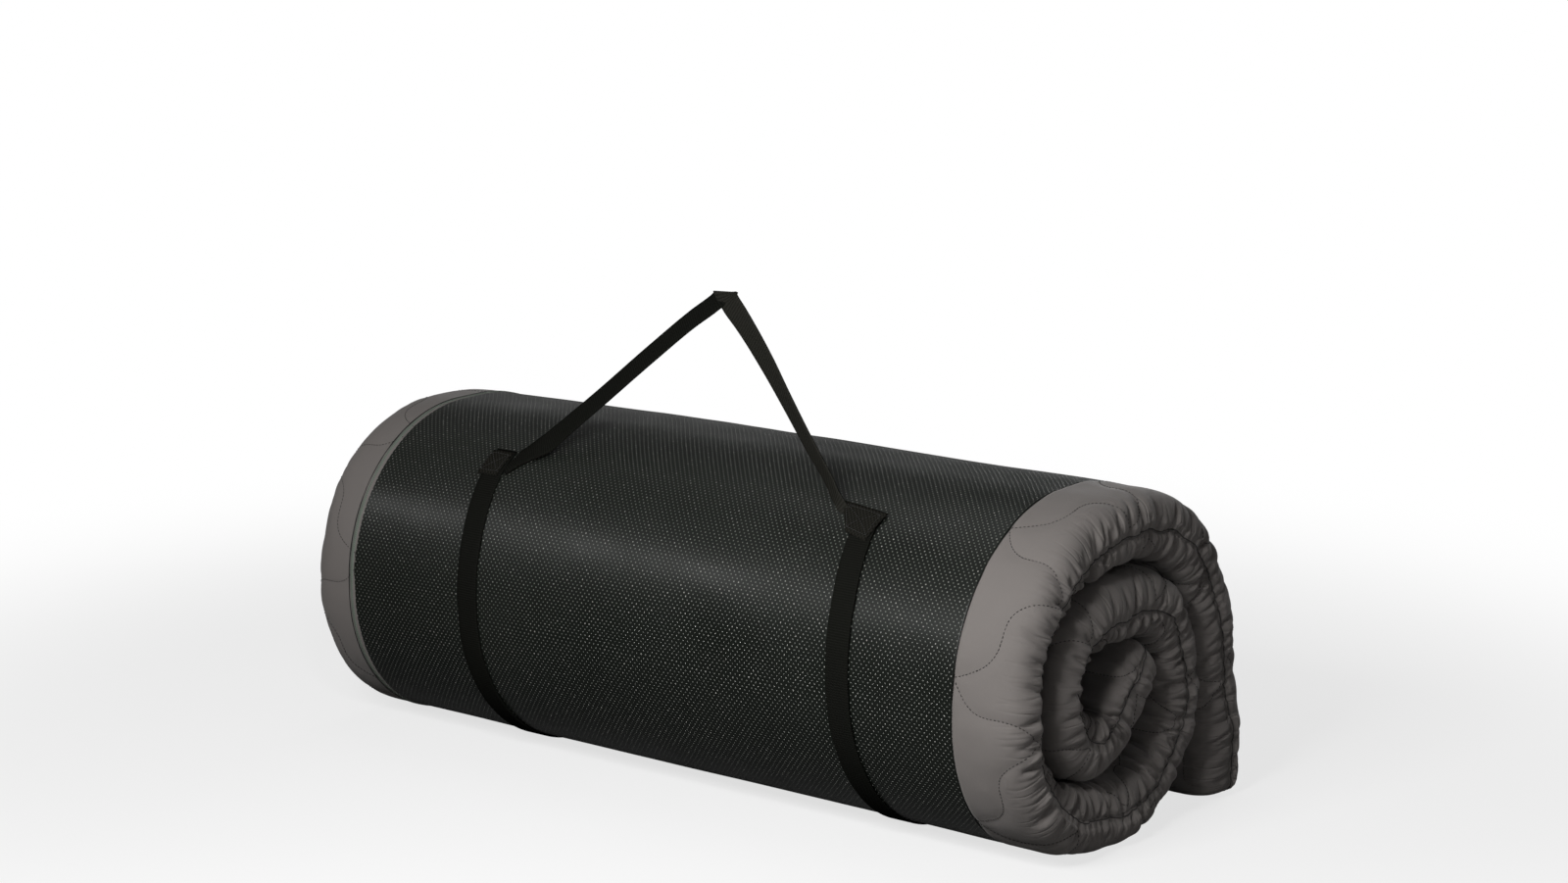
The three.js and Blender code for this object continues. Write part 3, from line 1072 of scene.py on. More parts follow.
@dataclass
class QuiltedCover:
    """The quilted covers over foam and wadding, closed along their side seam."""

    path: RollPath
    half_widths: tuple = (424 * MM, 433 * MM)
    side_round: float = 42 * MM
    end_round: float = 18 * MM
    corner_round: float = 22 * MM
    fullness: float = 0.6
    seam_draw: float = 3 * MM
    seam_width: float = 4 * MM
    front_draw: float = 13 * MM
    front_from: float = 0.1
    front_fade: float = 0.7
    front_calm: float = 0.9
    base_share: float = 0.35
    seam_levels: tuple = (
        (0, 15), (30, 14), (90, 3), (130, 0), (240, -1), (330, -2), (400, -3), (440, -5), (500, -9),
        (640, -9), (700, -7), (735, -4), (770, -2), (800, 0), (840, 0), (880, -1), (925, -2), (960, -2),
        (985, -1), (1010, -2), (1040, 0), (1085, -4), (1130, -9), (1230, -9), (1255, -5), (1293, -7),
        (1333, -8), (1360, -13), (1440, -13),
    )
    left_share: float = 0.6
    wobble: float = 2.4 * MM
    wobble_pitch: float = 21 * MM
    wobble_from: float = 30 * MM
    top_stretch: float = 1.25
    calm_share: float = 0.35
    floor_gap: float = 0.3 * MM
    quilt_draw: float = 3 * MM
    quilt_pitch: float = 112 * MM
    panel_edge: float = 362.5 * MM
    panel_depth: float = 1.5 * MM
    panel_overlap: float = 6 * MM
    strip_room: float = 5.6 * MM
    edge_rise: float = 1.6 * MM
    lobe_puff: float = 1.5 * MM
    row_step: float = 1.15 * MM
    round_step: float = 2.5 * MM
    border_step: float = 4.5 * MM
    fine_from: tuple = (354 * MM, 240 * MM)
    coarse_columns: int = 8
    end_rows: int = 8
    end_height: float = 30 * MM
    valley_depth: float = 2.4 * MM
    valley_width: float = 7 * MM
    stitch_sink: float = 0.6 * MM
    border_puff: float = 0.4 * MM
    stitch_groove: float = 1.6 * MM
    gather_reach: float = 95 * MM
    seam_pull: float = 38 * MM
    flat_pull: float = 0.35
    lobe_reach: float = 30 * MM
    crease_fade: float = 20 * MM
    hills: tuple = ((0.7 * MM, 38 * MM, 3), (0.35 * MM, 15 * MM, 4))
    quilt: QuiltCurves = field(default_factory=QuiltCurves)
    grid: Array = field(init=False, repr=False)
    lengths: Array = field(init=False, repr=False)
    outer: Array = field(init=False, repr=False)
    across: Array = field(init=False, repr=False)
    right_seam: int = field(init=False, repr=False)
    seam_across: float = field(init=False, repr=False)

    def _columns(self, face: Face) -> dict:
        """The columns of one face, from the left seam to the right one.

        Args:
            face: The cover's face.

        Returns:
            Arrays: flat, the share of the flat half; reach and rise, the share of the round's
            width and height; seam, the distance to the seam; across, the place on the sheet.
        """
        angle = np.linspace(0, math.pi / 2, 3001)
        reach = np.sin(angle) ** self.fullness
        rise = np.clip(np.cos(angle), 0, 1) ** self.fullness
        steps = np.hypot(np.diff(reach) * self.side_round, np.diff(rise) * self.path.half_thickness)
        arc = np.concatenate([[0], np.cumsum(steps)])
        wanted = np.linspace(0, arc[-1], round(arc[-1] / self.round_step) + 1)[1:]
        flat = self.half_widths[1] - self.side_round
        start = self.fine_from[0] if face is Face.BASE else self.fine_from[1]
        wide = np.arange(start, flat, self.border_step)
        close = []
        if face is Face.BASE:
            stops = [self.panel_edge + gap for gap in (0.0, self.strip_room)]
            shifts = (-0.5 * MM, self.edge_rise / 2, self.edge_rise)
            close = [stop + shift for stop in stops for shift in shifts]
            wide = wide[np.abs(wide[:, None] - np.array(close)[None, :]).min(1) > self.border_step * 0.4]
        middle = np.linspace(0, start, self.coarse_columns + 1)[:-1]
        inner = np.unique(np.concatenate([middle, wide, close, [flat]]))
        self.seam_across = flat + arc[-1]
        across = np.concatenate([inner, flat + wanted])
        zero = np.zeros(len(inner))
        half = {
            "flat": np.concatenate([inner / flat, np.ones(len(wanted))]),
            "reach": np.concatenate([zero, np.interp(wanted, arc, reach)]),
            "rise": np.concatenate([zero + 1, np.interp(wanted, arc, rise)]),
            "seam": self.seam_across - across,
        }
        columns = {name: np.concatenate([value[:0:-1], value]) for name, value in half.items()}
        columns["across"] = np.concatenate([-across[:0:-1], across])
        return columns

    def _rows(self) -> tuple:
        """Where the rows of points lie.

        Returns:
            The rows' lengths and their share of the full thickness.
        """
        angle = np.linspace(0, math.pi / 2, 400)
        away = self.end_round * (1 - np.cos(angle) ** self.fullness)
        share = np.sin(angle) ** self.fullness
        arc = np.concatenate([[0], np.cumsum(np.hypot(np.diff(away), np.diff(share) * self.end_height))])
        wanted = np.linspace(0, arc[-1], self.end_rows + 1)
        end_s = np.interp(wanted, arc, away)
        end_share = np.interp(wanted, arc, share)
        body = np.arange(self.end_round, self.path.length - self.end_round, self.row_step)[1:]
        s = np.concatenate([end_s, body, (self.path.length - end_s)[::-1]])
        shares = np.concatenate([end_share, np.ones(len(body)), end_share[::-1]])
        return s, shares

    def _seam_level(self, s: Array, across: Array) -> Array:
        """Height of the side seam over the middle of the thickness.

        Args:
            s: Row lengths.
            across: Places across the sheet, by row and column.

        Returns:
            Heights, by row and column.
        """
        knots = np.array(self.seam_levels) * MM
        level = np.interp(s, *knots.T)[:, None]
        right = 0.5 + 0.5 * across / self.seam_across
        level = level * (self.left_share + (1 - self.left_share) * right)
        inside = smooth_step(s / self.wobble_from)[:, None]
        end = np.sign(across) * 3.0  # far apart, so that the two ends don't wobble alike
        along = np.broadcast_to(s[:, None], across.shape)
        return level + self.wobble * inside * soft_noise(end, along, self.wobble_pitch, 31)

    def _folds(self, face: Face, hand: Hand) -> list:
        """Gathers along one edge of one face, closer and deeper where the roll bends.

        Args:
            face: The cover's face.
            hand: The roll's end.

        Returns:
            The folds.
        """
        chance = np.random.default_rng(11 + 3 * face.value + 7 * hand.value)
        return PILLOWS.scatter(self.path, face, chance) + TUCKS.scatter(self.path, face, chance)

    def _quilt_height(self, across: Array, along: Array, length: float) -> Array:
        """Height of the quilted surface: sunk along its stitches and full between them.

        Args:
            across: Places across the sheet, from its middle.
            along: Places along it.
            length: The sheet's length.

        Returns:
            Heights in metres.
        """
        points = np.concatenate(self.quilt.lines(length))
        tree = KDTree(len(points))
        for k, (u, v) in enumerate(points):
            tree.insert((u, v, 0.0), k)
        tree.balance()
        flat_u, flat_v = np.abs(across).ravel(), along.ravel()
        gap = np.array([tree.find((u, v, 0.0))[2] for u, v in zip(flat_u, flat_v)]).reshape(across.shape)
        groove = np.exp(-((gap / self.valley_width) ** 2))
        line = np.exp(-((gap / self.stitch_groove) ** 2))
        return -self.valley_depth * groove - self.stitch_sink * line

    def build(self) -> bpy.types.Object:
        """Make the closed cover mesh, and keep its grid for the seam and the stitches.

        Returns:
            The cover.
        """
        base, top = self._columns(Face.BASE), self._columns(Face.TOP)
        s, share = self._rows()
        ring = {name: np.concatenate([base[name], top[name][-2:0:-1]]) for name in base}
        self.right_seam = len(base["across"]) - 1
        face = np.where(np.arange(len(ring["across"])) <= self.right_seam, 1.0, -1.0)
        hand = np.where(ring["across"] < 0, -1.0, 1.0)
        x = self._widths(s, share, ring, face, hand)
        across = np.broadcast_to(ring["across"], x.shape)
        level = self._seam_level(s, across)
        full = self.path.half_thickness - np.where(face > 0, self.panel_depth, 0)
        n = level + (face * full - level) * ring["rise"] * share[:, None]
        outer = self.path.outer_lengths(s)
        along = np.where(face > 0, outer[:, None], (s * self.top_stretch)[:, None])
        height = self._relief(s, share, ring, face, hand, across, along)
        tangent_x, tangent_n = np.gradient(x, axis=1), np.gradient(n, axis=1)
        size = np.hypot(tangent_x, tangent_n) + 1e-9
        at_seam = ring["seam"] < 0.5 * MM
        x = (x + height * np.where(at_seam, 1.0, np.abs(tangent_n / size))) * hand
        n = n + height * np.where(at_seam, 0.0, np.abs(tangent_x / size) * face)
        points = self.path.place(x, n, s[:, None])
        points[..., 2] = np.maximum(points[..., 2], self.floor_gap)
        self.grid = points
        self.lengths, self.outer, self.across = s, outer, ring["across"]
        return swept("quilted_cover", points, np.stack([across, along], -1).reshape(-1, 2))

    def _widths(self, s: Array, share: Array, ring: dict, face: Array, hand: Array) -> Array:
        """How far each point lies from the roll's middle, along X.

        Args:
            s: Row lengths.
            share: Rows' share of the full thickness.
            ring: The ring's columns.
            face: 1 on the base and -1 on the top, by column.
            hand: The end of the roll, by column.

        Returns:
            Distances, by row and column.
        """
        quilt_in = self.quilt_draw * np.cos(math.pi * s / self.quilt_pitch) ** 2
        width = np.where(hand < 0, *self.half_widths)
        flat = width - self.side_round - self.corner_round * (1 - share)[:, None]
        closeness = np.exp(-((ring["seam"][None, :] / self.seam_width) ** 2))
        forward = -self.path.facing(s)[:, 1:2]
        front = smooth_step((forward - self.front_from) / self.front_fade) * (face < 0)
        reach = self.side_round - quilt_in[:, None] - self.front_draw * front
        x = flat * ring["flat"] + reach * ring["reach"]
        x = x - self.seam_draw * share[:, None] * closeness * (1 - self.front_calm * front)
        under_front = front.max(1, keepdims=True) * closeness * (face > 0)
        return x - self.front_draw * under_front * self.base_share

    def _relief(
        self, s: Array, share: Array, ring: dict, face: Array, hand: Array, across: Array, along: Array
    ) -> Array:
        """The height of the cover over its plain form: quilting, gathers and creases.

        Args:
            s: Row lengths.
            share: Rows' share of the full thickness.
            ring: The ring's columns.
            face: 1 on the base and -1 on the top, by column.
            hand: The end of the roll, by column.
            across: Places across the sheet.
            along: Places along the sheet.

        Returns:
            Heights, by row and column.
        """
        height = np.zeros(across.shape)
        seam = ring["seam"]
        base = face > 0
        reach = np.abs(ring["across"])
        for pick, start in zip((base, ~base), self.fine_from):
            chosen = np.where(pick & (reach > start - self.border_step))[0]
            pull = self.flat_pull + (1 - self.flat_pull) * np.exp(-((seam[chosen] / self.seam_pull) ** 2))
            length = along[-1, chosen[0]]
            height[:, chosen] += pull * self._quilt_height(across[:, chosen], along[:, chosen], length)
        edge = np.where(hand < 0, self.panel_edge + self.strip_room, self.panel_edge)
        height += self.lobe_puff * np.exp(-((seam / self.lobe_reach) ** 2))
        for which in Face:
            for end in Hand:
                near = seam < self.gather_reach
                chosen = np.where((face == which.value) & (hand == end.value) & near)[0]
                for fold in self._folds(which, end):
                    self._press(height, s, chosen, seam[chosen], fold)
        for fold, middle, half_length in CREASES.scatter(self.path):
            chosen = np.where(~base & (np.abs(ring["across"] - middle) < 1.6 * half_length))[0]
            offset = ring["across"][chosen] - middle
            extent = np.exp(-((offset / half_length) ** 4)) * smooth_step(seam[chosen] / self.crease_fade)
            self._press(height, s, chosen, offset, fold, extent)
        for size, pitch, seed in self.hills:
            height += size * soft_noise(across, along, pitch, seed)
        height *= np.where(base & (hand < 0), self.calm_share, 1.0)
        height += (self.panel_depth + self.border_puff) * smooth_step((reach - edge) / self.edge_rise) * base
        under_panel = base & (reach < self.panel_edge - self.panel_overlap)
        return height * smooth_step(share)[:, None] * np.where(under_panel, 0, 1)

    @staticmethod
    def _press(
        height: Array, s: Array, chosen: Array, offset: Array, fold: Fold, extent: Array | None = None
    ) -> None:
        """Press one fold into the heights.

        Args:
            height: Heights to change.
            s: Row lengths.
            chosen: The columns that it may touch.
            offset: Their distances from the fold's start.
            fold: The fold.
            extent: Its strength by column, or None for one that fades from the seam.
        """
        span = 3.2 * fold.width + abs(fold.slant) * float(np.abs(offset).max(initial=0.0))
        low, high = np.searchsorted(s, (fold.along - span, fold.along + span))
        if low >= high or not len(chosen):
            return
        if extent is None:
            extent = np.exp(-(((offset - fold.start) / fold.reach) ** 4))
            extent *= 1 - 0.65 * np.exp(-((offset / (3 * MM)) ** 2))  # shallow at the seam itself
            width = fold.width * (1 + offset / (70 * MM))  # and wider away from it
        else:
            width = np.full(len(chosen), fold.width)
        gap = (s[low:high, None] - fold.along - fold.slant * offset[None, :]) / width[None, :]
        height[low:high, chosen] -= fold.depth * fold_profile(np.abs(gap)) * extent[None, :]

    def spot(self, face: Face, hand: Hand, across: Array, s: Array) -> Array:
        """Points on the finished cover.

        Args:
            face: The cover's face.
            hand: The roll's end.
            across: Places across the sheet.
            s: Lengths along the roll's line.

        Returns:
            Points on the surface.
        """
        count = len(self.across)
        if face is Face.BASE:
            places = np.arange(self.right_seam + 1)
        else:
            places = np.arange(count, self.right_seam - 1, -1)
        j = np.interp(across * hand.value, self.across[places % count], places)
        i = np.interp(s, self.lengths, np.arange(len(self.lengths)))
        return between(self.grid, i, j, wrap=True)

    def seam_line(self) -> Array:
        """Follow the seam round the whole mat.

        Returns:
            The points of a line that closes on itself.
        """
        right = self.right_seam
        start, end = self.grid[0, 1:right], self.grid[-1, right - 1 : 0 : -1]
        return np.concatenate([start, self.grid[:, right], end, self.grid[::-1, 0]])


def tube(name: str, line: Array, radius: float, sides: int, closed: bool) -> bpy.types.Object:
    """A round tube along a line of points.

    Args:
        name: The object's name.
        line: The points.
        radius: The tube's radius.
        sides: Sides of its section.
        closed: Whether the line closes on itself.

    Returns:
        The tube.
    """
    if closed:
        ahead = unit(np.roll(line, -1, 0) - np.roll(line, 1, 0))
    else:
        ahead = unit(np.gradient(line, axis=0))
    helper = np.where(np.abs(ahead[:, :1]) > 0.8, [[0.0, 0.0, 1.0]], [[1.0, 0.0, 0.0]])
    beside = unit(np.cross(ahead, helper))
    above = np.cross(beside, ahead)
    angle = np.arange(sides) * math.tau / sides
    cosine, sine = np.cos(angle)[None, :, None], np.sin(angle)[None, :, None]
    ring = cosine * beside[:, None] + sine * above[:, None]
    points = (line[:, None] + radius * ring).reshape(-1, 3)
    faces = ring_faces(len(line), sides, closed)
    if not closed:
        faces += cap_faces(len(line), sides)
    along = np.repeat(run_lengths(line), sides)
    around = np.tile(angle * radius, len(line))
    return make_object(name, points, faces, np.stack([around, along], -1))


def stitch_mesh(
    name: str, middles: Array, aheads: Array, ups: Array, length: float, radius: float
) -> bpy.types.Object:
    """Many short stitches in one mesh: each a square bar with pointed ends that dip into the cloth.

    Args:
        name: The object's name.
        middles: The stitches' middles.
        aheads: Their directions.
        ups: Directions out of the cloth.
        length: A stitch's length.
        radius: Its radius.

    Returns:
        The stitches.
    """
    aheads = unit(aheads)
    sides = unit(np.cross(aheads, ups))
    ups = np.cross(sides, aheads)
    tip, body, dip = length / 2, length * 0.28, radius * 0.6
    corners = [middles - aheads * tip - ups * dip]
    for shift in (-body, body):
        for a, b in ((1, 0), (0, 1), (-1, 0), (0, -1)):
            corners.append(middles + aheads * shift + radius * (a * sides + b * ups))
    corners.append(middles + aheads * tip - ups * dip)
    points = np.stack(corners, 1)
    one = [(0, 1 + k, 1 + (k + 1) % 4) for k in range(4)]
    one += [(1 + k, 5 + k, 5 + (k + 1) % 4, 1 + (k + 1) % 4) for k in range(4)]
    one += [(9, 5 + (k + 1) % 4, 5 + k) for k in range(4)]
    starts = range(0, len(corners) * len(middles), len(corners))
    faces = [tuple(start + c for c in corner) for start in starts for corner in one]
    return make_object(name, points.reshape(-1, 3), faces)


@dataclass
class QuiltedMat:
    """The soft mat: its cover, side seam and quilting stitches."""

    path: RollPath
    palette: Palette
    seam_radius: float = 0.6 * MM
    stitch_pitch: float = 3.7 * MM
    stitch_length: float = 2.7 * MM
    stitch_radius: float = 0.42 * MM
    stitch_seat: float = 0.45
    clear_of_panel: float = 2 * MM
    clear_inside: float = 8 * MM
    clear_of_seam: float = 6 * MM
    clear_of_ends: float = 24 * MM

    def build(self) -> QuiltedCover:
        """Make every piece of the mat.

        Returns:
            The cover, for what lies on it.
        """
        cover = QuiltedCover(self.path)
        piece = dress(cover.build(), self.palette.cloth)
        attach(piece, MAT_BODY)
        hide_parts("base_cover", "top_cover", "base_wadding", "top_wadding", "foam_core")
        seam = tube("side_seam", cover.seam_line(), self.seam_radius, 6, True)
        dress(seam, self.palette.grey_thread)
        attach(seam, MAT_BODY)
        for face in Face:
            stitches = dress(self._stitches(cover, face), self.palette.grey_thread)
            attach(stitches, MAT_BODY)
        return cover

    def _stitches(self, cover: QuiltedCover, face: Face) -> bpy.types.Object:
        """The quilting stitches of one face.

        Args:
            cover: The finished cover.
            face: Which face.

        Returns:
            One mesh of stitches.
        """
        if face is Face.BASE:
            length, reach = cover.outer[-1], cover.panel_edge + self.clear_of_panel
        else:
            length = cover.path.length * cover.top_stretch
            reach = cover.fine_from[1] + self.clear_inside
        middles, aheads, ups = [], [], []
        for line in cover.quilt.lines(length):
            steps = run_lengths(line)
            at = np.arange(self.stitch_pitch / 2, steps[-1], self.stitch_pitch)
            spots = np.stack([np.interp(at, steps, line[:, k]) for k in (0, 1)], -1)
            turns = np.stack([np.interp(at, steps, np.gradient(line[:, k])) for k in (0, 1)], -1)
            keep = (spots[:, 0] > reach) & (spots[:, 0] < cover.seam_across - self.clear_of_seam)
            keep &= (spots[:, 1] > self.clear_of_ends) & (spots[:, 1] < length - self.clear_of_ends)
            spots, turns = spots[keep], unit(turns[keep]) * MM
            if not len(spots):
                continue
            for hand in Hand:
                middle, ahead, up = self._stand(cover, face, hand, spots, turns)
                middles.append(middle)
                aheads.append(ahead)
                ups.append(up)
        rows = [np.concatenate(part) for part in (middles, aheads, ups)]
        return stitch_mesh("quilting_" + face.name.lower(), *rows, self.stitch_length, self.stitch_radius)

    def _stand(self, cover: QuiltedCover, face: Face, hand: Hand, spots: Array, turns: Array) -> tuple:
        """Where one line's stitches stand on the cover.

        Args:
            cover: The finished cover.
            face: Which face.
            hand: The roll's end.
            spots: The stitches' places on the sheet.
            turns: Short steps along the line at each of them.

        Returns:
            Middles, directions ahead and directions out of the cloth.
        """
        beside = turns[:, ::-1] * (1, -1)
        shifts = (0 * turns, turns, -turns, beside, -beside)
        middle, after, before, right, left = (
            self._on(cover, face, hand, spots + shift) for shift in shifts
        )
        ahead = after - before
        up = unit(np.cross(ahead, right - left))
        outward = cover.path.facing(self._length(cover, face, spots[:, 1])) * face.value
        outward[:, 0] = hand.value * 0.6  # out of the rounded side as well
        up *= np.sign((up * outward).sum(1, keepdims=True))
        return middle + up * self.stitch_radius * self.stitch_seat, ahead, up

    @staticmethod
    def _length(cover: QuiltedCover, face: Face, along: Array) -> Array:
        """Lengths on the roll's line for places along a face's sheet."""
        if face is Face.BASE:
            return np.interp(along, cover.outer, cover.lengths)
        return along / cover.top_stretch

    def _on(self, cover: QuiltedCover, face: Face, hand: Hand, spots: Array) -> Array:
        """Points of the cover at sheet places (across, along)."""
        return cover.spot(face, hand, spots[:, 0], self._length(cover, face, spots[:, 1]))


@dataclass
class BasePanel:
    """The coated base sheet on the outside of the mat, with a ribbed strip at its left edge."""

    path: RollPath
    palette: Palette
    edge: float = 362.5 * MM
    end_border: float = 60 * MM
    thickness: float = 1.2 * MM
    strip_gap: float = 0.3 * MM
    strip_width: float = 5 * MM
    piping_radius: float = 0.8 * MM
    rim: float = 1.2 * MM
    row_step: float = 6 * MM
    columns: int = 72
    waves: tuple = ((0.30 * MM, 70 * MM, 8), (0.12 * MM, 26 * MM, 9))
    strip_sides: int = 10
    strip_rise: float = 1.1 * MM
    trim_lift: float = 0.2 * MM

    def build(self) -> None:
        """Make the sheet and its strip."""
        run = self.path.length - 2 * self.end_border
        s = np.linspace(self.end_border, self.path.length - self.end_border, round(run / self.row_step))
        outer = self.end_border + self.path.outer_lengths(s)
        x = np.linspace(self.rim - self.edge, self.edge - self.rim, self.columns)
        bevel = self.edge - 0.4 * self.rim
        x = np.concatenate([[-self.edge, -bevel], x, [bevel, self.edge]])
        drop = np.where(np.abs(x) > self.edge - 0.2 * self.rim, 0.5 * self.thickness, 0.0)
        grid_x = np.broadcast_to(x, (len(s), len(x)))
        grid_s = np.broadcast_to(outer[:, None], grid_x.shape)
        wave = sum(size * soft_noise(grid_x, grid_s, pitch, seed) for size, pitch, seed in self.waves)
        top = self.path.place(grid_x, self.path.half_thickness + wave - drop, s[:, None])
        under = self.path.place(grid_x, self.path.half_thickness - self.thickness + wave, s[:, None])
        ring = np.concatenate([top, under[:, ::-1]], 1)
        ring_across = np.concatenate([x, x[::-1]])
        sheet = np.stack(np.broadcast_arrays(ring_across[None, :], outer[:, None]), -1)
        panel = swept("base_sheet", ring, sheet.reshape(-1, 2))
        dress(panel, self.palette.panel)
        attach(panel, MAT_BODY)
        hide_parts("base_panel")
        self._strip(s, outer)

    def _strip(self, s: Array, outer: Array) -> None:
        """Make the ribbed strip, low and rounded, beside the sheet, and its piping.

        Args:
            s: Row lengths.
            outer: The same along the outside of the roll.
        """
        middle = -self.edge - self.strip_gap - self.strip_width / 2
        angle = np.linspace(0, math.tau, self.strip_sides, endpoint=False)
        half = np.cos(angle) * self.strip_width / 2
        n = self.path.half_thickness - self.trim_lift + np.sin(angle) * self.strip_rise
        ring = self.path.place((middle + half)[None, :], n[None, :], s[:, None])
        across = np.broadcast_to(half, (len(s), self.strip_sides))
        sheet = np.stack(np.broadcast_arrays(across, outer[:, None]), -1).reshape(-1, 2)
        faces = [f[::-1] for f in ring_faces(*across.shape) + cap_faces(*across.shape)]
        strip = make_object("edge_strip", ring.reshape(-1, 3), faces, sheet)
        dress(strip, self.palette.selvage)
        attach(strip, MAT_BODY)
        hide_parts("panel_selvage")
        beside = middle - self.strip_width / 2 - self.piping_radius
        line = self.path.place(np.array([beside]), np.array([self.path.half_thickness + self.trim_lift]), s)
        piping = tube("edge_piping", line, self.piping_radius, 6, False)
        dress(piping, self.palette.black_thread)
        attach(piping, MAT_BODY)


# Webbing


@dataclass(frozen=True)
class Webbing:
    """The flat webbing that every strap is cut from."""

    width: float = 25 * MM
    thickness: float = 1.8 * MM
    edge: float = 0.5 * MM

    def section(self) -> Array:
        """Lay out the section.

        Returns:
            Points across and up, from the left edge over the face and back under it.
        """
        w, t, e = self.width / 2, self.thickness / 2, self.edge
        top = [(-w, 0), (-w + e * 0.4, t * 0.75), (-w + e * 1.6, t), (-w / 2, t), (0, t), (w / 2, t)]
        top += [(w - e * 1.6, t), (w - e * 0.4, t * 0.75)]
        return np.array(top + [(-a, -b) for a, b in top])

    def strap(self, name: str, middles: Array, across: Array, facing: Array) -> bpy.types.Object:
        """Sweep the section along a line.

        Args:
            name: The object's name.
            middles: The line's points.
            across: At each point, the direction and scale of the width.
            facing: At each point, the direction of the face.

        Returns:
            The strap.
        """
        section = self.section()
        sideways = across[:, None] * section[None, :, :1]
        ring = middles[:, None] + sideways + facing[:, None] * section[None, :, 1:]
        along = np.repeat(run_lengths(middles), len(section))
        return swept(name, ring, np.stack([np.tile(section[:, 0], len(middles)), along], -1))

    def level_strap(self, name: str, middles: Array, facing: Array) -> bpy.types.Object:
        """Sweep the section along a line, with its width along X.

        Args:
            name: The object's name.
            middles: The line's points.
            facing: At each point, the direction of the face.

        Returns:
            The strap.
        """
        return self.strap(name, middles, np.tile([1.0, 0.0, 0.0], (len(middles), 1)), facing)


@dataclass
class StrapWork:
    """The two bands with their anchors, closing tabs and pads.

    Pairs give the left end first. A band line runs through keys of length along the roll and x, in
    millimetres.
    """

    path: RollPath
    palette: Palette
    webbing: Webbing = field(default_factory=Webbing)
    gap: float = 0.3 * MM
    end_round: float = 18 * MM
    band_places: tuple = (-223 * MM, 222 * MM)
    band_bottom: tuple = (-204 * MM, 243 * MM)
    band_lines: tuple = (
        (
            (490, -220), (520, -215.5), (552, -210.6), (567, -208.7),
            (597, -206.6), (630, -204.4), (663, -202), (706, -200),
        ),
        (
            (490, 224.5), (513, 229), (543, 234.8), (571, 237.9),
            (598, 239.8), (629, 241.9), (658, 244.8), (696, 247.6),
        ),
    )
    band_return: float = 0.8
    anchor_turn: float = 31
    anchor_length: float = 28 * MM
    anchor_spans: tuple = ((5.5 * MM, 23.5 * MM), (0.0, 27 * MM))
    anchor_tilts: tuple = (0.0, 2.5 * MM)
    anchor_overlap: float = 3 * MM
    anchor_widths: tuple = (26 * MM, 53 * MM)
    anchor_shifts: tuple = (1.5 * MM, -8.5 * MM)
    hinge_height: float = 45 * MM
    tab_length: float = 82 * MM
    tab_rise: float = 14 * MM
    pad_length: float = 52 * MM
    pad_thickness: float = 1.2 * MM
    pad_from_tip: float = 10 * MM
    pad_edge: float = 0.4 * MM
    pad_rows: int = 18
    bend_reach: tuple = (2 * MM, 8 * MM)
    ripple: float = 0.25 * MM
    ripple_length: float = 11 * MM
    anchor_grid: tuple = (15, 25)
    anchor_curl: float = 0.5 * MM
    curl_pitch: float = 9 * MM
    anchor_steepness: float = 9
    worn_edge: float = 0.45
    stitch_inset: int = 2
    stitch_pitch: float = 2.9 * MM
    stitch_length: float = 2.3 * MM
    stitch_radius: float = 0.4 * MM
    stitch_lift: float = 0.2 * MM
    step: float = 4 * MM

    def build(self) -> None:
        """Make the straps of both ends."""
        for hand in Hand:
            x = hand.of(self.band_bottom)
            self._band(hand, x)
            self._closing_strap(hand, x)
            self._pads(hand, x)
            self._anchor(hand)

    @property
    def anchor_top(self) -> float:
        """Length on the roll's line of the anchors' upper edge."""
        return self.path.start_length("outer_front_top", self.anchor_turn)

    @property
    def lift(self) -> float:
        """Height of the webbing's middle over the middle of the mat's thickness."""
        return self.path.half_thickness + self.gap + self.webbing.thickness / 2

    def _band(self, hand: Hand, x_bottom: float) -> None:
        """Make one band, from its anchor down the front and along the floor to the tail's foot.

        Args:
            hand: The roll's end.
            x_bottom: Its place under the roll.
        """
        bottom = self.path.start_length("inner_back_bottom")
        start = self.anchor_top + self.anchor_overlap
        s = np.linspace(start, bottom, round((bottom - start) / self.step))
        share = (s - start) / (bottom - start)
        x = np.interp(s, *(np.array(hand.of(self.band_lines)).T * MM))
        x += (x_bottom - x[-1]) * smooth_step((share - self.band_return) / (1 - self.band_return))
        roll = self.path.place(x, self.lift, s)
        corner, corner_facing = self._corner(x_bottom)
        run_y = np.arange(roll[-1, 1] + self.step, self._corner_middle()[0], self.step)
        run = np.stack([np.full_like(run_y, x_bottom), run_y, np.full_like(run_y, roll[-1, 2])], -1)
        run_facing = np.tile([0.0, 0.0, -1.0], (len(run), 1))
        half = len(corner) // 2 + 1
        middles = np.concatenate([roll, run, corner[:half]])
        facings = np.concatenate([self.path.facing(s), run_facing, corner_facing[:half]])
        band = self.webbing.level_strap("webbing_band_" + hand.word, middles, facings)
        dress(band, self.palette.webbing)
        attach(band, MAT_BODY)
        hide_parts("band_" + hand.word)

    def _corner_middle(self) -> tuple:
        """The y and z of the middle of the webbing's turn round the tail's foot."""
        foot_y, foot_z = self.path.foot()
        return foot_y + self.path.half_thickness - self.end_round, foot_z + self.end_round

    def _corner(self, x: float) -> tuple:
        """The webbing's turn round the tail's foot.

        Args:
            x: The band's place.

        Returns:
            Points and facings.
        """
        angle = np.linspace(0, math.pi / 2, 11)
        radius = self.end_round + self.gap + self.webbing.thickness / 2
        facing = np.stack([np.zeros_like(angle), np.sin(angle), -np.cos(angle)], -1)
        return self.path.settle(np.array([x, *self._corner_middle()]) + radius * facing), facing

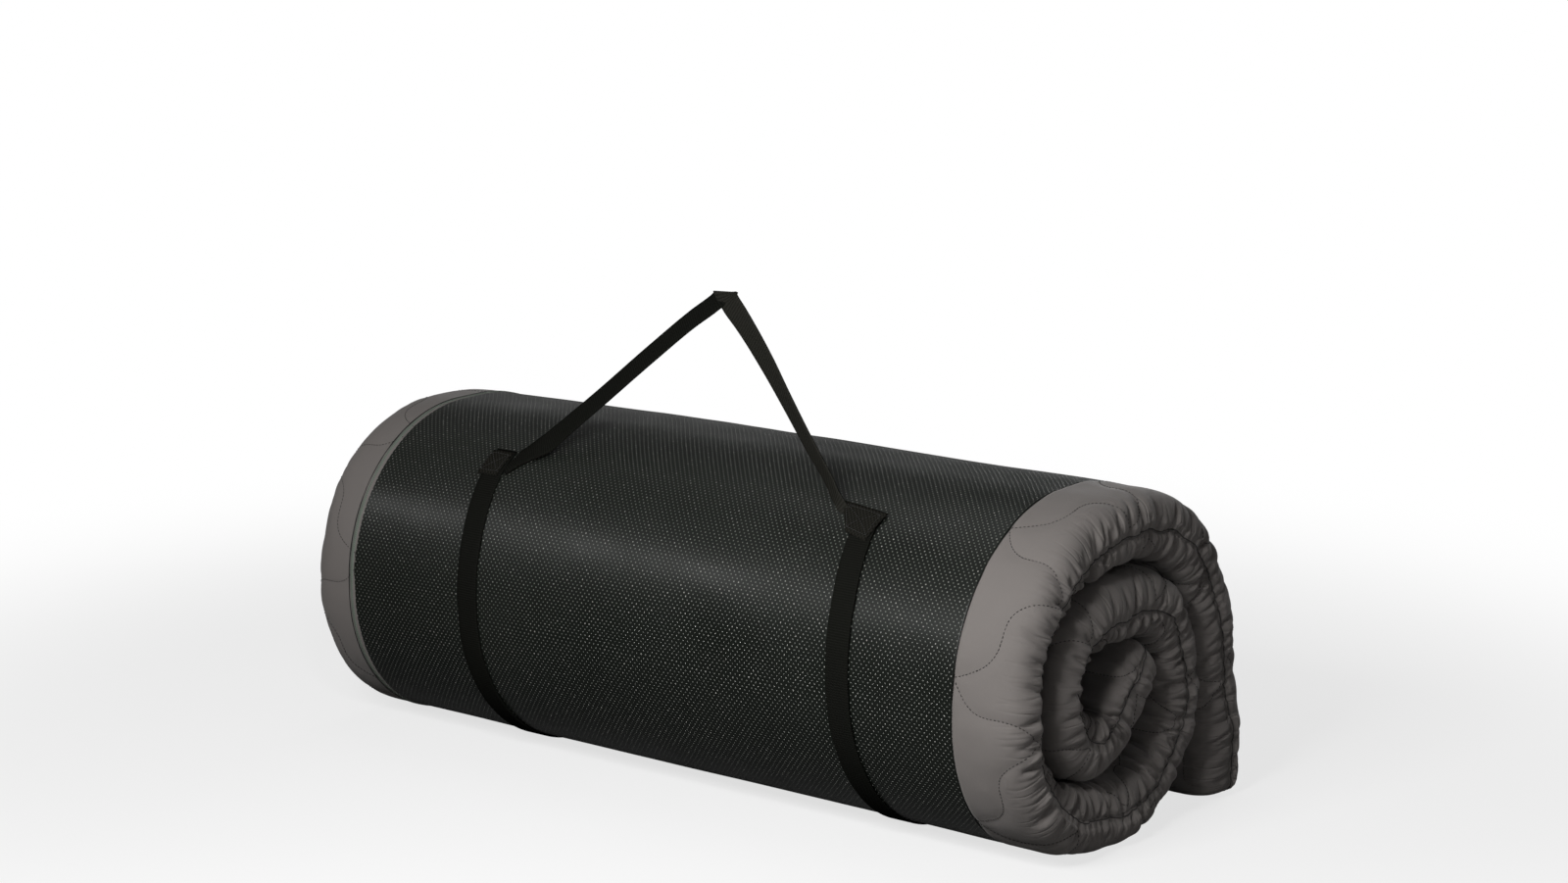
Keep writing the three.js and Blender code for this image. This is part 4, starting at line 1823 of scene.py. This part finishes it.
    def _closing_strap(self, hand: Hand, x: float) -> None:
        """Make the webbing from the tail's foot to the tab's tip, which bends where it peels.

        Args:
            hand: The roll's end.
            x: The band's place.
        """
        corner, facing = self._corner(x)
        half = len(corner) // 2
        s = np.arange(self.end_round + self.step, self.hinge_height + self.tab_length, self.step)
        rise = smooth_step((s - self.hinge_height) / self.tab_rise)
        over = 2 * (self.pad_thickness + self.gap)
        ripple = self.ripple * np.sin(s / self.ripple_length)
        up = self.path.place(np.full_like(s, x), self.lift + over * rise + ripple * rise, s)
        middles = np.concatenate([corner[half:], up])
        facings = np.concatenate([facing[half:], self.path.facing(s)])
        strap = self.webbing.level_strap("closing_strap_" + hand.word, middles, facings)
        dress(strap, self.palette.webbing)
        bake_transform(strap)
        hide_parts("tab_" + hand.word)

    def _pads(self, hand: Hand, x: float) -> None:
        """Make the loop pad on the panel and the hook pad on the tab.

        Args:
            hand: The roll's end.
            x: The band's place.
        """
        end = self.hinge_height + self.tab_length - self.pad_from_tip
        s = np.linspace(end - self.pad_length, end, self.pad_rows)
        low = self.path.half_thickness + self.gap + self.pad_thickness / 2
        pad = Webbing(self.webbing.width, self.pad_thickness, self.pad_edge)
        for word, body, height in (
            ("loop", MAT_BODY, low),
            ("hook", hand.word + "_tab", low + self.pad_thickness + self.gap),
        ):
            middles = self.path.place(np.full_like(s, x), height, s)
            piece = pad.level_strap(f"{word}_pile_{hand.word}", middles, self.path.facing(s))
            dress(piece, self.palette.pile)
            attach(piece, body)
            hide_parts(f"{word}_pad_{hand.word}")

    def _anchor(self, hand: Hand) -> None:
        """Make one stitched anchor: a doubled piece of webbing with its seams.

        Args:
            hand: The roll's end.
        """
        rows, columns = self.anchor_grid
        v = np.linspace(0, 1, rows)[:, None]
        u = np.linspace(-1, 1, columns)[None, :]
        x = hand.of(self.band_places)
        half = (hand.of(self.anchor_widths) / 2) * (1 - v) + (self.webbing.width / 2) * v
        middle = x + hand.of(self.anchor_shifts) * (1 - v)
        grid_x = middle + half * u
        drop, length = hand.of(self.anchor_spans)
        s = self.anchor_top + drop + length * v + hand.of(self.anchor_tilts) * u
        under = self.path.half_thickness + self.gap + self.webbing.thickness + self.gap
        rim = np.minimum(1 - np.abs(u), np.minimum(v, 1 - v) * 1.6)
        edge = smooth_step(np.minimum(1, rim * self.anchor_steepness))
        curl = self.anchor_curl * soft_noise(grid_x, s, self.curl_pitch, 21 + hand.value)
        worn = self.worn_edge + (1 - self.worn_edge) * edge
        top = under + self.webbing.thickness * worn + curl
        over = self.path.place(grid_x, top, s)
        below = self.path.place(grid_x, np.broadcast_to(under, grid_x.shape) + curl * 0.5, s)
        points = np.concatenate([over.reshape(-1, 3), below.reshape(-1, 3)])
        sheet = np.tile(np.stack([(grid_x - x).ravel(), s.ravel()], -1), (2, 1))
        anchor = make_object("anchor_webbing_" + hand.word, points, self._slab_faces(rows, columns), sheet)
        dress(anchor, self.palette.anchor)
        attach(anchor, MAT_BODY)
        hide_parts("anchor_patch_" + hand.word)
        self._anchor_stitches(hand, over)

    @staticmethod
    def _slab_faces(rows: int, columns: int) -> list:
        """Faces of a slab whose upper and lower grids have the same points.

        Args:
            rows: Rows of each grid.
            columns: Columns of each grid.

        Returns:
            The index tuples.
        """
        numbers = np.arange(2 * rows * columns).reshape(2, rows, columns)
        top, low = numbers.tolist()
        faces = []
        for i in range(rows - 1):
            for j in range(columns - 1):
                faces.append((top[i][j], top[i + 1][j], top[i + 1][j + 1], top[i][j + 1]))
                faces.append((low[i][j], low[i][j + 1], low[i + 1][j + 1], low[i + 1][j]))
        rim = [(0, j) for j in range(columns - 1)] + [(i, columns - 1) for i in range(rows - 1)]
        rim += [(rows - 1, j) for j in range(columns - 1, 0, -1)] + [(i, 0) for i in range(rows - 1, 0, -1)]
        for (a, b), (c, d) in zip(rim, rim[1:] + rim[:1]):
            faces.append((top[a][b], top[c][d], low[c][d], low[a][b]))
        return faces

    def _anchor_stitches(self, hand: Hand, over: Array) -> None:
        """Sew the anchor down: a box of stitches with a cross in it.

        Args:
            hand: The roll's end.
            over: The anchor's upper points, by row and column.
        """
        inset = self.stitch_inset
        last_row, last_column = over.shape[0] - 1 - inset, over.shape[1] - 1 - inset
        corners = [(inset, inset), (inset, last_column), (last_row, last_column), (last_row, inset)]
        runs = list(zip(corners, corners[1:] + corners[:1]))
        runs += [(corners[0], corners[2]), (corners[1], corners[3])]
        middles, aheads = [], []
        for a, b in runs:
            ahead = over[b] - over[a]
            count = max(2, round(float(np.linalg.norm(ahead)) / self.stitch_pitch))
            t = (np.arange(count) + 0.5) / count
            middles.append(between(over, a[0] + (b[0] - a[0]) * t, a[1] + (b[1] - a[1]) * t))
            aheads.append(np.tile(ahead, (count, 1)))
        middles, aheads = np.concatenate(middles), np.concatenate(aheads)
        facing = self.path.facing(np.array([self.anchor_top + self.anchor_length / 2]))
        ups = np.tile(facing, (len(middles), 1))
        name = "anchor_thread_" + hand.word
        lifted = middles + ups * self.stitch_lift
        stitches = stitch_mesh(name, lifted, aheads, ups, self.stitch_length, self.stitch_radius)
        dress(stitches, self.palette.black_thread)
        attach(stitches, MAT_BODY)


@dataclass
class CarryHandle:
    """One length of webbing from anchor to anchor, folded over itself at its peak.

    Each leg runs through knots of x, height over the hinge line in the handle's leaning plane and
    distance in front of that plane, all in millimetres, twist in degrees and share of the full width.
    The right leg's knots run down from the peak.
    """

    palette: Palette
    webbing: Webbing = field(default_factory=Webbing)
    hinge: tuple = (0.0, -121.94 * MM, 299.67 * MM)
    lean: float = 25
    step: float = 3 * MM
    left_leg: tuple = (
        (-210, -20, 8.6, -26, 1.0), (-206.3, -15.5, 6.4, -28, 1.0), (-201.5, -8.7, 2.5, -30, 0.95),
        (-190, 1, 0, -27, 1.0), (-181, 7.2, 0, -20, 1.0), (-168.3, 16.2, 0, -11, 1.0),
        (-164, 21, 0, -13, 1.0), (-154.7, 30.9, 0, -15, 1.0), (-124, 63, 0, -17, 1.0),
        (-74, 117, 0, -17, 1.0), (-37, 156, -1, -17, 1.0), (-17, 175, -2.2, -16, 1.0),
        (-7, 184.5, -0.65, -14, 1.0),
    )
    right_leg: tuple = (
        (-7, 184.5, 0.65, -14, 1.0), (5, 174, 3.0, -21, 1.0), (21, 161, 2.5, -26, 1.0),
        (65, 121, 0, -35, 1.0), (97, 90, 0, -42, 1.0), (134, 54, 0, -46, 1.0), (172, 18, 0, -47, 0.95),
        (184, 4, 0, -38, 0.85), (191, -5, -0.4, -10, 0.75), (197, -14, -0.6, 20, 0.75),
    )
    fold_radius: float = 0.65 * MM
    fold_points: int = 7
    pinch: float = 0.45
    crown_turn: float = 0.18
    crown_share: float = 0.93
    crown_rows: int = 7
    bend_reach: tuple = (6 * MM, 8 * MM)

    @property
    def axes(self) -> tuple:
        """The leaning plane of the handle.

        Returns:
            Directions along X, up the plane and out of its front.
        """
        lean = math.radians(self.lean)
        up = np.array([0, math.sin(lean), math.cos(lean)])
        return np.array([1.0, 0, 0]), up, np.array([0, -math.cos(lean), math.sin(lean)])

    def _leg(self, knots: tuple) -> Array:
        """Lay one leg smoothly through its knots.

        Args:
            knots: The leg's knots.

        Returns:
            Rows like the knots, at even steps.
        """
        table = np.array(knots, float)
        gaps = np.linalg.norm(np.diff(table[:, :2], axis=0), axis=1)
        at = np.concatenate([[0], np.cumsum(gaps)])
        even = np.linspace(0, at[-1], round(at[-1] * MM / self.step))
        slopes = np.gradient(table, at, axis=0)
        k = np.clip(np.searchsorted(at, even, side="right") - 1, 0, len(gaps) - 1)
        t = ((even - at[k]) / gaps[k])[:, None]
        start, end = table[k], table[k + 1]
        curve = start * (1 + 2 * t) * (1 - t) ** 2 + end * t * t * (3 - 2 * t)
        return curve + gaps[k][:, None] * (slopes[k] * t * (1 - t) ** 2 - slopes[k + 1] * t * t * (1 - t))

    def _leg_frame(self, middles: Array, twist: Array, side: int) -> tuple:
        """How the webbing lies on one leg.

        Args:
            middles: The leg's points.
            twist: Its twist at each of them, in degrees.
            side: 1 on the left leg, which climbs, and -1 on the right one.

        Returns:
            Directions along the leg, across the webbing and out of its face.
        """
        front = self.axes[2]
        ahead = unit(np.gradient(middles, axis=0))
        spin = np.radians(twist)[:, None]
        plain = unit(front - (ahead @ front)[:, None] * ahead)
        beside = np.cross(ahead, plain) * side
        facing = (np.cos(spin) * plain + np.sin(spin) * beside) * side
        return ahead, np.cross(facing, ahead), facing

    def build(self) -> None:
        """Make the handle, folded and pinched at its peak, and seat it on the anchors."""
        along_x, up, front = self.axes
        left, right = self._leg(self.left_leg), self._leg(self.right_leg)
        turn = np.linspace(0, math.pi, self.fold_points + 2)[1:-1]
        fold = np.repeat(left[-1:], self.fold_points, axis=0)
        fold[:, 2] = -self.fold_radius / MM * np.cos(turn)
        fold[:, 1] += self.fold_radius / MM * np.sin(turn)
        rows = np.concatenate([left, fold, right])
        leaning = rows[:, :1] * along_x + rows[:, 1:2] * up + rows[:, 2:3] * front
        middles = np.array(self.hinge) + MM * leaning
        count, rest = len(left), len(rows) - len(right)
        ahead, left_across, left_facing = self._leg_frame(middles[:count], rows[:count, 3], 1)
        _, right_across, right_facing = self._leg_frame(middles[rest:], rows[rest:, 3], -1)
        over_fold = -np.sin(turn)[:, None] * up + np.cos(turn)[:, None] * front
        skew = np.repeat(left_across[-1:], self.fold_points, axis=0)
        level = -(along_x + self.crown_turn * front) / float(ahead[-1] @ up) * self.crown_share
        half_fold = self.fold_points // 2
        away = np.abs(np.arange(len(rows)) - count - half_fold)[:, None] - half_fold
        near = 1 - np.clip(away / self.crown_rows, 0, 1)
        across = np.concatenate([left_across, skew, right_across])
        across = across * rows[:, 4:5] * (1 - near) + level * near
        facing = unit(np.concatenate([left_facing, over_fold, right_facing])) * (1 - self.pinch * near)
        handle = self.webbing.strap("carry_strap", middles, across, facing)
        dress(handle, self.palette.handle_face)
        self._line_back(handle)
        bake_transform(handle)
        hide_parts("carry_handle")

    def _line_back(self, handle: bpy.types.Object) -> None:
        """Give the strap's back, the second half of its section, the lighter webbing: partly its own lighter
        back and partly painted light for the right leg, which shows it.

        Args:
            handle: The strap.
        """
        handle.data.materials.append(self.palette.handle_back_and_painted_light)
        sides = len(self.webbing.section())
        place = np.arange(len(handle.data.polygons)) % sides
        handle.data.polygons.foreach_set("material_index", (place >= sides // 2).astype(np.int32))


# The studio


@dataclass(frozen=True)
class Softbox:
    """One soft rectangular lamp: where it stands, what it looks at, its size and its power in watts."""

    name: str
    place: tuple
    target: tuple
    size: tuple
    power: float

    def build(self) -> None:
        """Hang the lamp in the scene."""
        data = bpy.data.lights.new(self.name, "AREA")
        data.shape = "RECTANGLE"
        data.size, data.size_y = self.size
        data.energy = self.power
        light = bpy.data.objects.new(self.name, data)
        light.location = self.place
        x, y, z = np.array(self.target) - np.array(self.place)
        light.rotation_euler = (math.atan2(math.hypot(x, y), -z), 0.0, math.atan2(-x, y))
        bpy.context.scene.collection.objects.link(light)


ROLL_MIDDLE = (0.0, -0.05, 0.17)
RIGHT_END = (0.4, -0.15, 0.16)
SOFTBOXES = (
    Softbox("key_softbox", (0.34, -1.25, 0.88), RIGHT_END, (0.4, 0.35), 12.0),
    Softbox("edge_softbox", (0.6, -1.05, 0.9), RIGHT_END, (0.15, 0.15), 4.5),
    Softbox("side_softbox", (1.1, -0.12, 0.22), RIGHT_END, (0.2, 0.2), 0.58),
    Softbox("strip_softbox", (-1.5, -1.8, 1.36), ROLL_MIDDLE, (1.5, 0.3), 7.0),
    Softbox("top_softbox", (-0.6, 0.3, 2.4), ROLL_MIDDLE, (1.4, 1.0), 3.6),
    Softbox("back_softbox", (0.1, 2.3, 0.6), ROLL_MIDDLE, (1.6, 0.8), 17.0),
    Softbox("horizon_softbox", (-1.9, 2.4, 0.75), ROLL_MIDDLE, (2.8, 0.7), 1.4),
)


@dataclass
class Studio:
    """A pale floor, soft light and the camera at the photograph's angle."""

    lens: float = 75.17
    camera_place: tuple = (1.9151, -2.4332, 0.9549)
    camera_yaw: float = 37.78
    camera_pitch: float = 11.65
    floor_size: float = 60.0
    diffuse_share: float = 0.015
    glossy_share: float = 0.12
    floor_glow: float = 0.72
    floor_bounce: float = 0.15
    floor_tone: float = 0.9
    floor_roughness: float = 0.9
    floor_shine: float = 0.1
    floor_fade: tuple = (0.45, 1.6)

    def build(self) -> None:
        """Make the camera, floor, lights and surroundings."""
        self._camera()
        self._floor()
        for softbox in SOFTBOXES:
            softbox.build()
        self._world()
        bpy.context.scene.view_settings.view_transform = "Standard"

    def _camera(self) -> None:
        """Place the camera."""
        data = bpy.data.cameras.new("camera")
        data.lens = self.lens
        data.sensor_width = 36.0
        data.clip_end = 100.0
        camera = bpy.data.objects.new("camera", data)
        camera.location = self.camera_place
        camera.rotation_euler = (math.radians(90 - self.camera_pitch), 0.0, math.radians(self.camera_yaw))
        bpy.context.scene.collection.objects.link(camera)
        bpy.context.scene.camera = camera

    def _floor(self) -> None:
        """Make the floor: pale and shadowed near the mat, plain white further away."""
        half = self.floor_size / 2
        corners = np.array([(-half, -half, 0), (half, -half, 0), (half, half, 0), (-half, half, 0)])
        floor = make_object("floor", corners, [(0, 1, 2, 3)])
        material = bpy.data.materials.new("pale_floor")
        material.use_nodes = True
        tree = material.node_tree
        tree.nodes.clear()
        n = Nodes(tree)
        near = n.add("BsdfPrincipled")
        near.inputs["Roughness"].default_value = self.floor_roughness
        near.inputs["Specular IOR Level"].default_value = self.floor_shine
        far = n.add("Emission")
        far.inputs["Strength"].default_value = 1.0
        place = n.add("NewGeometry").outputs["Position"]
        distance = n.add("VectorMath", operation="LENGTH")
        n.feed(distance.inputs[0], place)
        away = n.spread(distance.outputs["Value"], *self.floor_fade)
        seen = n.add("LightPath").outputs["Is Camera Ray"]
        grey = (self.floor_bounce,) * 3 + (1.0,)
        pale = (self.floor_tone,) * 3 + (1.0,)
        n.feed(near.inputs["Base Color"], n.mix(seen, grey, pale))
        mix = n.add("MixShader")
        share = n.spread(away, 0.0, 1.0, self.floor_glow, 1.0)
        n.feed(mix.inputs[0], n.math("MULTIPLY", share, seen))
        n.feed(mix.inputs[1], near.outputs[0])
        n.feed(mix.inputs[2], far.outputs[0])
        out = n.add("OutputMaterial")
        n.feed(out.inputs[0], mix.outputs[0])
        floor.data.materials.append(material)

    def _world(self) -> None:
        """Make the surroundings: white to the camera and dimmer as light."""
        world = bpy.data.worlds.new("surroundings")
        bpy.context.scene.world = world
        world.use_nodes = True
        tree = world.node_tree
        tree.nodes.clear()
        n = Nodes(tree)
        background = n.add("Background")
        background.inputs["Color"].default_value = (1.0, 1.0, 1.0, 1.0)
        rays = n.add("LightPath")
        glossy = n.math("MULTIPLY", rays.outputs["Is Glossy Ray"], self.glossy_share - self.diffuse_share)
        camera = n.math("MULTIPLY", rays.outputs["Is Camera Ray"], 1.0 - self.diffuse_share)
        strength = n.math("ADD", n.math("ADD", glossy, camera), self.diffuse_share)
        n.feed(background.inputs["Strength"], strength)
        out = n.add("OutputWorld")
        n.feed(out.inputs[0], background.outputs[0])


def main() -> None:
    """Build the mat, its straps and the studio around the frame."""
    logging.basicConfig(level=logging.INFO, format="%(name)s: %(message)s")
    palette = Palette(EffectGroups())
    path = RollPath()
    LOG.info("mat length along the middle of its thickness: %.3f m", path.length)
    QuiltedMat(path, palette).build()
    BasePanel(path, palette).build()
    StrapWork(path, palette).build()
    CarryHandle(palette).build()
    Studio().build()


if __name__ == "__main__":
    main()
